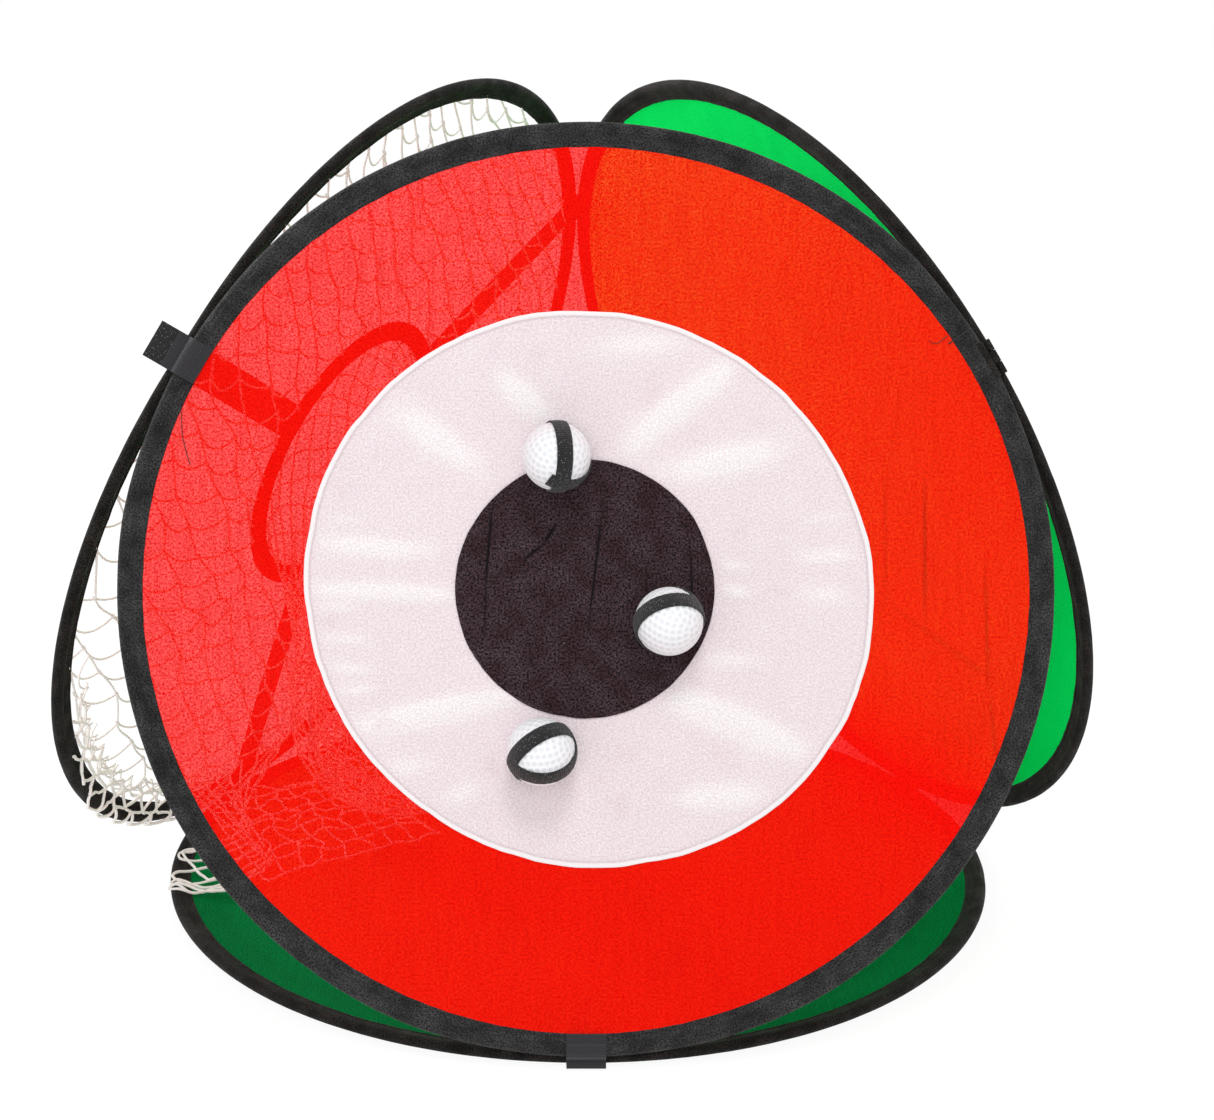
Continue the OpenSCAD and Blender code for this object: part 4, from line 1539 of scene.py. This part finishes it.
bag = cords("catch_bag_net", bag_runs(44, 30, 111, 0.0, 0.0), 0.85 * mm, 0.15, 8)
finish_piece(bag, Matrix.Identity(4), "net_panel", BAG_CORD, ["catch_bag"])
folds = cords("catch_bag_folds", bag_runs(36, 24, 121, 0.22, 0.15), 0.85 * mm, 0.15, 11)
finish_piece(folds, Matrix.Identity(4), "net_panel", BAG_CORD)

# ---------------------------------------------------------------- tapes, tabs and straps


def arc(centre, radius, from_deg, to_deg, steps):
    angles = np.radians(np.linspace(from_deg, to_deg, steps))
    return [(centre[0] + radius * math.cos(a), centre[1] + radius * math.sin(a)) for a in angles]


def tape_along(name, path, width, thickness, columns=6, wave=0.0, seed=0, middle=0.0):
    """A tape of even width: its end edge is drawn from point to point of a path in X and Z."""
    deselect()
    bpy.ops.mesh.primitive_grid_add(x_subdivisions=1, y_subdivisions=columns, size=1)
    tape = take(name)
    first, second = path[0], path[1]
    points = points_of(tape)
    start = points[:, 0] < 0
    points[:, 1] = middle + points[:, 1] * width
    points[:, 2] = np.where(start, first[1], second[1])
    points[:, 0] = np.where(start, first[0], second[0])
    move_points(tape, points)
    edit(tape, lambda c: abs(c.x - second[0]) + abs(c.z - second[1]) < 1e-7, "VERT")
    for here, there in zip(path[1:], path[2:]):
        step = (there[0] - here[0], 0, there[1] - here[1])
        bpy.ops.mesh.extrude_edges_move(TRANSFORM_OT_translate={"value": step})
    done()
    line = np.array(path)
    gone = np.concatenate([[0], np.cumsum(np.linalg.norm(np.diff(line, axis=0), axis=1))])

    def along(at, middle_of_face):
        flat = at[:, [0, 2]]
        best, where = np.full(len(at), 1e9), np.zeros(len(at))
        for i in range(len(line) - 1):
            run = line[i + 1] - line[i]
            share = np.clip(((flat - line[i]) @ run) / max(run @ run, 1e-12), 0, 1)
            away = np.linalg.norm(flat - line[i] - share[:, None] * run, axis=1)
            nearer = away < best
            best = np.where(nearer, away, best)
            where = np.where(nearer, gone[i] + share * math.sqrt(run @ run), where)
        return np.column_stack([where, at[:, 1]])

    lay_out(tape, along)
    if wave:
        points = points_of(tape)
        points[:, 2] += wave * noise(points[:, :2], 14 * mm, seed)
        points[:, 1] += 0.3 * wave * noise(points[:, [0, 2]], 9 * mm, seed + 1)
        move_points(tape, points)
    modify(tape, "SOLIDIFY", thickness=thickness, offset=0.0, use_even_offset=True)
    outward(tape)
    soften(tape, thickness * 0.22)
    return smooth(tape, 40)


SEAM = FACE_R - WIRE_R
NEIGHBOUR = (-SEAM * math.cos(LEAN), -SEAM * math.sin(LEAN))
TAPE_FIT, RUN_GAP = 0.15 * mm, 0.3 * mm
HOOK_LEVEL = NEIGHBOUR[1] + TUBE_R + TAPE_FIT
FLAP_LEVEL = HOOK_LEVEL + TAB_T + RUN_GAP


def loop_tab_path(root_level, reach):
    """From its sewn root on the flange, over the tube, down its outside and out past the corner."""
    band = TUBE_R + RUN_GAP + TAB_T / 2
    root = root_level + RUN_GAP + TAB_T / 2
    flap = FLAP_LEVEL + TAB_T / 2
    rise = math.asin(root / band)
    low = math.asin(flap / band)
    path = [(TUBE_R - BINDING_W - SEAM + TAB_T / 2, root), (-SEAM - band * math.cos(rise) - 1.5 * mm, root)]
    path += arc((-SEAM, 0), band, 180 - math.degrees(rise), math.degrees(low) + 12, 18)
    path += [(x, flap) for x in (band - SEAM + 0.4 * mm, *np.linspace(band - SEAM + 1.4 * mm, reach, 4))]
    return path


def hook_tab(name, reach, seed):
    """A band round the outside of the neighbour's tube and, sewn on its end, a flat tape under the tab."""
    round_tube = arc(NEIGHBOUR, TUBE_R + TAPE_FIT + TAB_T / 2, math.degrees(LEAN) - 90, 62, 12)
    wrap = tape_along(name, round_tube, TAB_W, TAB_T, 8, 0.08 * mm, seed)
    flat = [(x, HOOK_LEVEL + TAB_T / 2) for x in np.linspace(NEIGHBOUR[0], reach, 8)]
    return join(wrap, tape_along(name + "_end", flat, TAB_W, TAB_T, 8, 0.12 * mm, seed))


# How high each panel's flange stands, and the tabs: name, panel, place round it, the level they are sewn on,
# how far the loop tab and the hook tab reach past the corner, and the body the hook tab is on.
FLANGE = {"target": 1.1 * mm, "net": 1.5 * mm}
TABS = [
    ("target_net", "target", 150, FLANGE["target"], 6 * mm, 19 * mm, "net_panel"),
    ("target_floor", "target", -90, FLANGE["target"], 4 * mm, 3 * mm, "floor_panel"),
    ("net_floor", "net", -90, FLANGE["net"] + TAPE_FIT + TAB_T, 4 * mm, 3 * mm, "floor_panel"),
]
for count, (name, panel, at, level, flap, hook, hook_body) in enumerate(TABS):
    tab = tape_along("loop_tab_" + name, loop_tab_path(level, flap), TAB_W, TAB_T, 8, 0.12 * mm, 120 + count)
    finish_piece(tab, corner(panel, at), name + "_tab", LOOP_TAB, ["tab_" + name])
    grip = hook_tab("hook_tab_" + name, hook, 130 + count)
    finish_piece(grip, corner(panel, at), hook_body, HOOK_TAPE, ["hook_" + name])

# The straps run from the hole's hoop to the rim and bow out a little on the way.
start = HOLE_WIRE_R + TUBE_R + 0.5 * mm
finish = WIRE_R - TUBE_R - 1 * mm
level = FLANGE["net"] + TAPE_FIT + TAB_T / 2
steps = np.linspace(start, finish, 40)
bow = [level + 0.5 * mm * math.sin(math.pi * (x - start) / (finish - start)) for x in steps]
for name, at in (("front", 30), ("back", 150), ("floor", -90)):
    strap = tape_along("net_strap_" + name, list(zip(steps, bow)), TAB_W, TAB_T, 8, 0.35 * mm, 140 + at)
    place = PANEL["net"] @ Matrix.Rotation(math.radians(at), 4, "Z")
    finish_piece(strap, place, "net_panel", WEBBING, ["strap_" + name])

LOOP_R = 2.0 * mm
BAR_R = 1.0 * mm
JOINT_W = 24 * mm


def joint_tapes(name, panel, at, body, inner, replaced):
    """The tape of a sewn joint: a band over the hoop and fingers that loop round the thread bar."""
    band_r = TUBE_R + TAPE_FIT + 0.35 * mm
    band = tape_along(name, arc((-SEAM, 0), band_r, 88, 6, 10), JOINT_W, 0.7 * mm, 8, 0.08 * mm, 150 + at)
    width = JOINT_W / 3 if inner else JOINT_W / 3 - 0.3 * mm
    places = [0] if inner else [-8.15 * mm, 8.15 * mm]
    mid = (BAR_R + 0.05 * mm + LOOP_R) / 2
    path = [(-LOOP_R - 0.7 * mm, mid), (-LOOP_R * 0.6, mid)] + arc((0, 0), mid, 90, -180, 16)
    path += [(-mid - 0.25 * mm, 0.35 * mm)]
    fingers = [tape_along(name + "_finger", path, width, 0.85 * mm, 2, 0.0, 0, place) for place in places]
    join(band, *fingers)
    return finish_piece(band, corner(panel, at), body, SHADED_REAR_BINDING, [replaced])


JOINTS = [
    ("floor_side_lower_tape", "floor", -30, "floor_panel", False),
    ("floor_side_upper_tape", "side", -90, "side_panel", True),
    ("side_target_side_tape", "side", 150, "side_panel", False),
    ("side_target_front_tape", "target", 30, "target_panel", True),
    ("side_net_side_tape", "side", 30, "side_panel", False),
    ("side_net_net_tape", "net", 150, "net_panel", True),
]
for name, panel, at, body, inner in JOINTS:
    joint_tapes("sewn_" + name, panel, at, body, inner, "joint_" + name)


def thread_bar(name, panel, at, body):
    """Turns of thread that two tapes pivot on: a round core with ridges."""
    deselect()
    bpy.ops.mesh.primitive_cylinder_add(
        vertices=16, radius=BAR_R * 0.93, depth=JOINT_W, rotation=(math.pi / 2, 0, 0)
    )
    bar = take("sewn_" + name)
    bpy.ops.object.transform_apply(location=False, rotation=True, scale=False)
    for step in range(5):
        edit(bar, lambda c: True)
        bpy.ops.mesh.bisect(plane_co=(0, (step - 2) * 4 * mm, 0), plane_no=(0, 1, 0))
        done()
    soften(bar, 0.25 * mm, 60)
    modify(bar, "SUBSURF", levels=1, render_levels=1, subdivision_type="SIMPLE")
    points = points_of(bar)
    ridge = 1 + 0.06 * np.sin(points[:, 1] / (0.9 * mm) * math.tau + np.arctan2(points[:, 2], points[:, 0]))
    points[:, 0] *= ridge
    points[:, 2] *= ridge
    move_points(bar, points)
    lay_out(bar, flat_uv)
    smooth(bar, 50)
    return finish_piece(bar, corner(panel, at), body, BLACK_THREAD, ["joint_" + name])


for name, at, body in (("floor_side", -90, "floor"), ("side_target", 150, "side"), ("side_net", 30, "side")):
    thread_bar(name + "_thread", "side", at, body + "_panel")

# Loose ends of sewing thread, on the target panel's front: the points of each, in mm.
LOOSE_THREADS = [
    ("loose_thread_left", [
        (-266, 119, 1.6), (-261, 117, 0.9), (-255, 112, 0.8), (-254, 98, 0.9), (-252, 88, 0.8),
        (-249, 78, 1.3),
    ]),
    ("loose_thread_right", [
        (226, 161, 1.4), (222, 157.5, 1.2), (219, 156, 0.9), (216.5, 156.5, 0.8), (215, 158, 1.0),
    ]),
]
for name, points in LOOSE_THREADS:
    line = rounded_run(np.array(points) * mm, 6)
    line[:, 2] += red_height(line) + 0.15 * mm
    thread = cords(name, [line], 0.22 * mm)
    finish_piece(thread, PANEL["target"], "target_panel", BLACK_THREAD)

# The row of stitches that closes the binding across its tube, beside the sewn joint: radius and height.
over_tube = np.array([(275, 2.4), (278.5, 3.5), (282, 4.6), (285.5, 5.1), (288.6, 4.4), (290, 3.2)]) * mm
across = np.column_stack([over_tube[:, :1] * directions([math.radians(34.5)]), over_tube[:, 1]])
closing = cords("binding_closing_stitch", [across], 0.5 * mm)
finish_piece(closing, PANEL["target"], "target_panel", BLACK_THREAD)

# ---------------------------------------------------------------- balls


def dimple_places(count):
    """Evenly spread directions round a sphere."""
    k = np.arange(count) + 0.5
    from_pole = np.arccos(1 - 2 * k / count)
    turn = math.pi * (1 + 5**0.5) * k
    return np.column_stack([directions(turn) * np.sin(from_pole)[:, None], np.cos(from_pole)])


def dimpled_ball(name, turn):
    """A ball with round dimples pressed into it."""
    deselect()
    bpy.ops.mesh.primitive_ico_sphere_add(subdivisions=7, radius=BALL_R)
    ball = take(name)
    points = points_of(ball)
    unit = points / np.linalg.norm(points, axis=1)[:, None]
    pits = dimple_places(300)
    nearest = np.zeros(len(unit))
    chunk = 8192
    for part in range(0, len(unit), chunk):
        nearest[part : part + chunk] = (unit[part : part + chunk] @ pits.T).max(axis=1)
    away = np.arccos(np.clip(nearest, -1, 1)) * BALL_R / (1.95 * mm)
    bowl = np.clip(1 - away * away, 0, 1) ** 0.85
    move_points(ball, unit * (BALL_R - 0.45 * mm * bowl)[:, None])
    # The dimple mark, which the material darkens as painted shade.
    note(ball, "dimple", bowl)
    lay_out(ball, flat_uv)
    smooth(ball, 80)
    ball.data.transform(turn)
    return ball


def hook_band(name, normal, cut=None, length=360):
    """A strip of hook tape round a ball, square to normal. With cut, one end is there and it runs for
    length degrees."""
    deselect()
    bpy.ops.mesh.primitive_cylinder_add(vertices=144, radius=BALL_R, depth=10 * mm, end_fill_type="NOTHING")
    band = take(name)
    for step in range(7):
        edit(band, lambda c: True)
        bpy.ops.mesh.select_all(action="SELECT")
        bpy.ops.mesh.bisect(plane_co=(0, 0, (step - 3) * 1.25 * mm), plane_no=(0, 0, 1))
        done()
    z = Vector(normal).normalized()
    x = Vector(cut) - Vector(cut).dot(z) * z if cut else z.orthogonal()
    x.normalize()
    y = z.cross(x)
    if length < 360:
        edit(band, lambda c: math.degrees(math.atan2(c.y, c.x)) % 360 > length)
        bpy.ops.mesh.delete(type="FACE")
        done()
    points = points_of(band)
    lifted = BALL_R + 0.62 * mm
    points[:, :2] *= (np.sqrt(lifted**2 - points[:, 2] ** 2) / polar(points)[0])[:, None]
    move_points(band, points)
    lay_out(band, lambda at, middle: np.column_stack([unrolled_angle(at, middle) * BALL_R, at[:, 2]]))
    modify(band, "SOLIDIFY", thickness=1.1 * mm, offset=0.0, use_even_offset=True)
    outward(band)
    soften(band, 0.25 * mm)
    points = points_of(band)
    unit = points / np.linalg.norm(points, axis=1)[:, None]
    outer = np.linalg.norm(points, axis=1) > BALL_R + 0.8 * mm
    points += unit * (0.16 * mm * noise(points, 1.1 * mm, 160, 1) * outer)[:, None]
    move_points(band, points)
    smooth(band, 60)
    band.data.transform(Matrix((x, y, z)).transposed().to_4x4())
    return band


# Each ball: its place on the panel in mm, the ways its two strips face, where the second strip starts and
# how many degrees it runs.
BALLS = [
    ("ball_upper", (-20, 83), (0.97, 0.0, -0.24), (0.45, 0.55, 0.70), (-0.2, -0.65, 0.75), 200),
    ("ball_right", (50, -19), (-0.21, 0.77, -0.60), (-0.49, 0.46, 0.74), (0.75, 0.45, 0.25), 200),
    ("ball_lower", (-29, -100), (-0.50, 0.72, -0.47), (0.03, 0.68, 0.73), (-0.75, -0.2, 0.3), 250),
]
for count, (name, at, first, second, cut, length) in enumerate(BALLS):
    under = BLACK_LEVEL if math.hypot(*at) * mm < BLACK_R + 11 * mm else WHITE_LEVEL
    level = under + CLOTH_T - 0.05 * mm + RUN_GAP + TAB_T + BALL_R
    place = PANEL["target"] @ Matrix.Translation((at[0] * mm, at[1] * mm, level))
    turn = Matrix.Rotation(0.7 + count, 4, Vector((0.3, 0.5, 0.8)).normalized())
    ball = dimpled_ball(name + "_shell", turn)
    finish_piece(ball, place, name, BALL_PLASTIC, [name])
    full = hook_band(name + "_full_strip", first)
    finish_piece(full, place, name, HOOK_TAPE, [name + "_strips"])
    short = hook_band(name + "_cut_strip", second, cut, length)
    finish_piece(short, place, name, HOOK_TAPE)

# ---------------------------------------------------------------- floor and light



def seen_straight(tree):
    """1 where the camera sees a surface, also in a mirror or through glass, and 0 for light that it sheds."""
    rays = add(tree, "LightPath").outputs
    straight = calc(tree, "MAXIMUM", rays["Is Camera Ray"], rays["Is Glossy Ray"])
    return calc(tree, "MAXIMUM", straight, rays["Is Transmission Ray"])


def mix_out(tree, output, share, one, other):
    """Ends a node tree in a mix of two shaders."""
    mixed = add(tree, "MixShader", {0: share, 1: one.outputs[0], 2: other.outputs[0]})
    add(tree, output, {0: mixed.outputs[0]})


bpy.ops.mesh.primitive_plane_add(size=60, location=(0, 0, 0))
floor = take("studio_floor")
paint = bpy.data.materials.new("pale floor")
paint.use_nodes = True
tree = paint.node_tree
tree.nodes.clear()
matt = add(tree, "BsdfDiffuse", {"Color": (0.82, 0.82, 0.82, 1)})
bright = add(tree, "Emission", {"Color": (1, 1, 1, 1), "Strength": 1.07})
mix_out(tree, "OutputMaterial", calc(tree, "MULTIPLY", seen_straight(tree), 0.86), matt, bright)
floor.data.materials.append(paint)

world = bpy.data.worlds.new("studio")
bpy.context.scene.world = world
world.use_nodes = True
tree = world.node_tree
tree.nodes.clear()
plain = add(tree, "Background", {"Color": (1, 1, 1, 1), "Strength": 0.68})
white_back = add(tree, "Background", {"Color": (1, 1, 1, 1), "Strength": 1.0})
mix_out(tree, "OutputWorld", seen_straight(tree), plain, white_back)


def lamp(name, place, towards, size, watts):
    light = bpy.data.lights.new(name, "AREA")
    light.shape = "DISK"
    light.size = size
    light.energy = watts
    holder = bpy.data.objects.new(name, light)
    bpy.context.scene.collection.objects.link(holder)
    holder.location = place
    holder.rotation_mode = "QUATERNION"
    holder.rotation_quaternion = (Vector(towards) - Vector(place)).to_track_quat("-Z", "Y")


lamp("key lamp", (0.1, -1.7, 3.1), (0, -0.1, 0.3), 1.0, 25)
lamp("front lamp", (-0.3, -2.8, 1.5), (0, 0, 0.3), 1.6, 16)
lamp("back lamp", (-2.2, 1.6, 1.9), (0.1, 0.1, 0.25), 0.7, 44)

bpy.context.scene.view_settings.view_transform = "Standard"
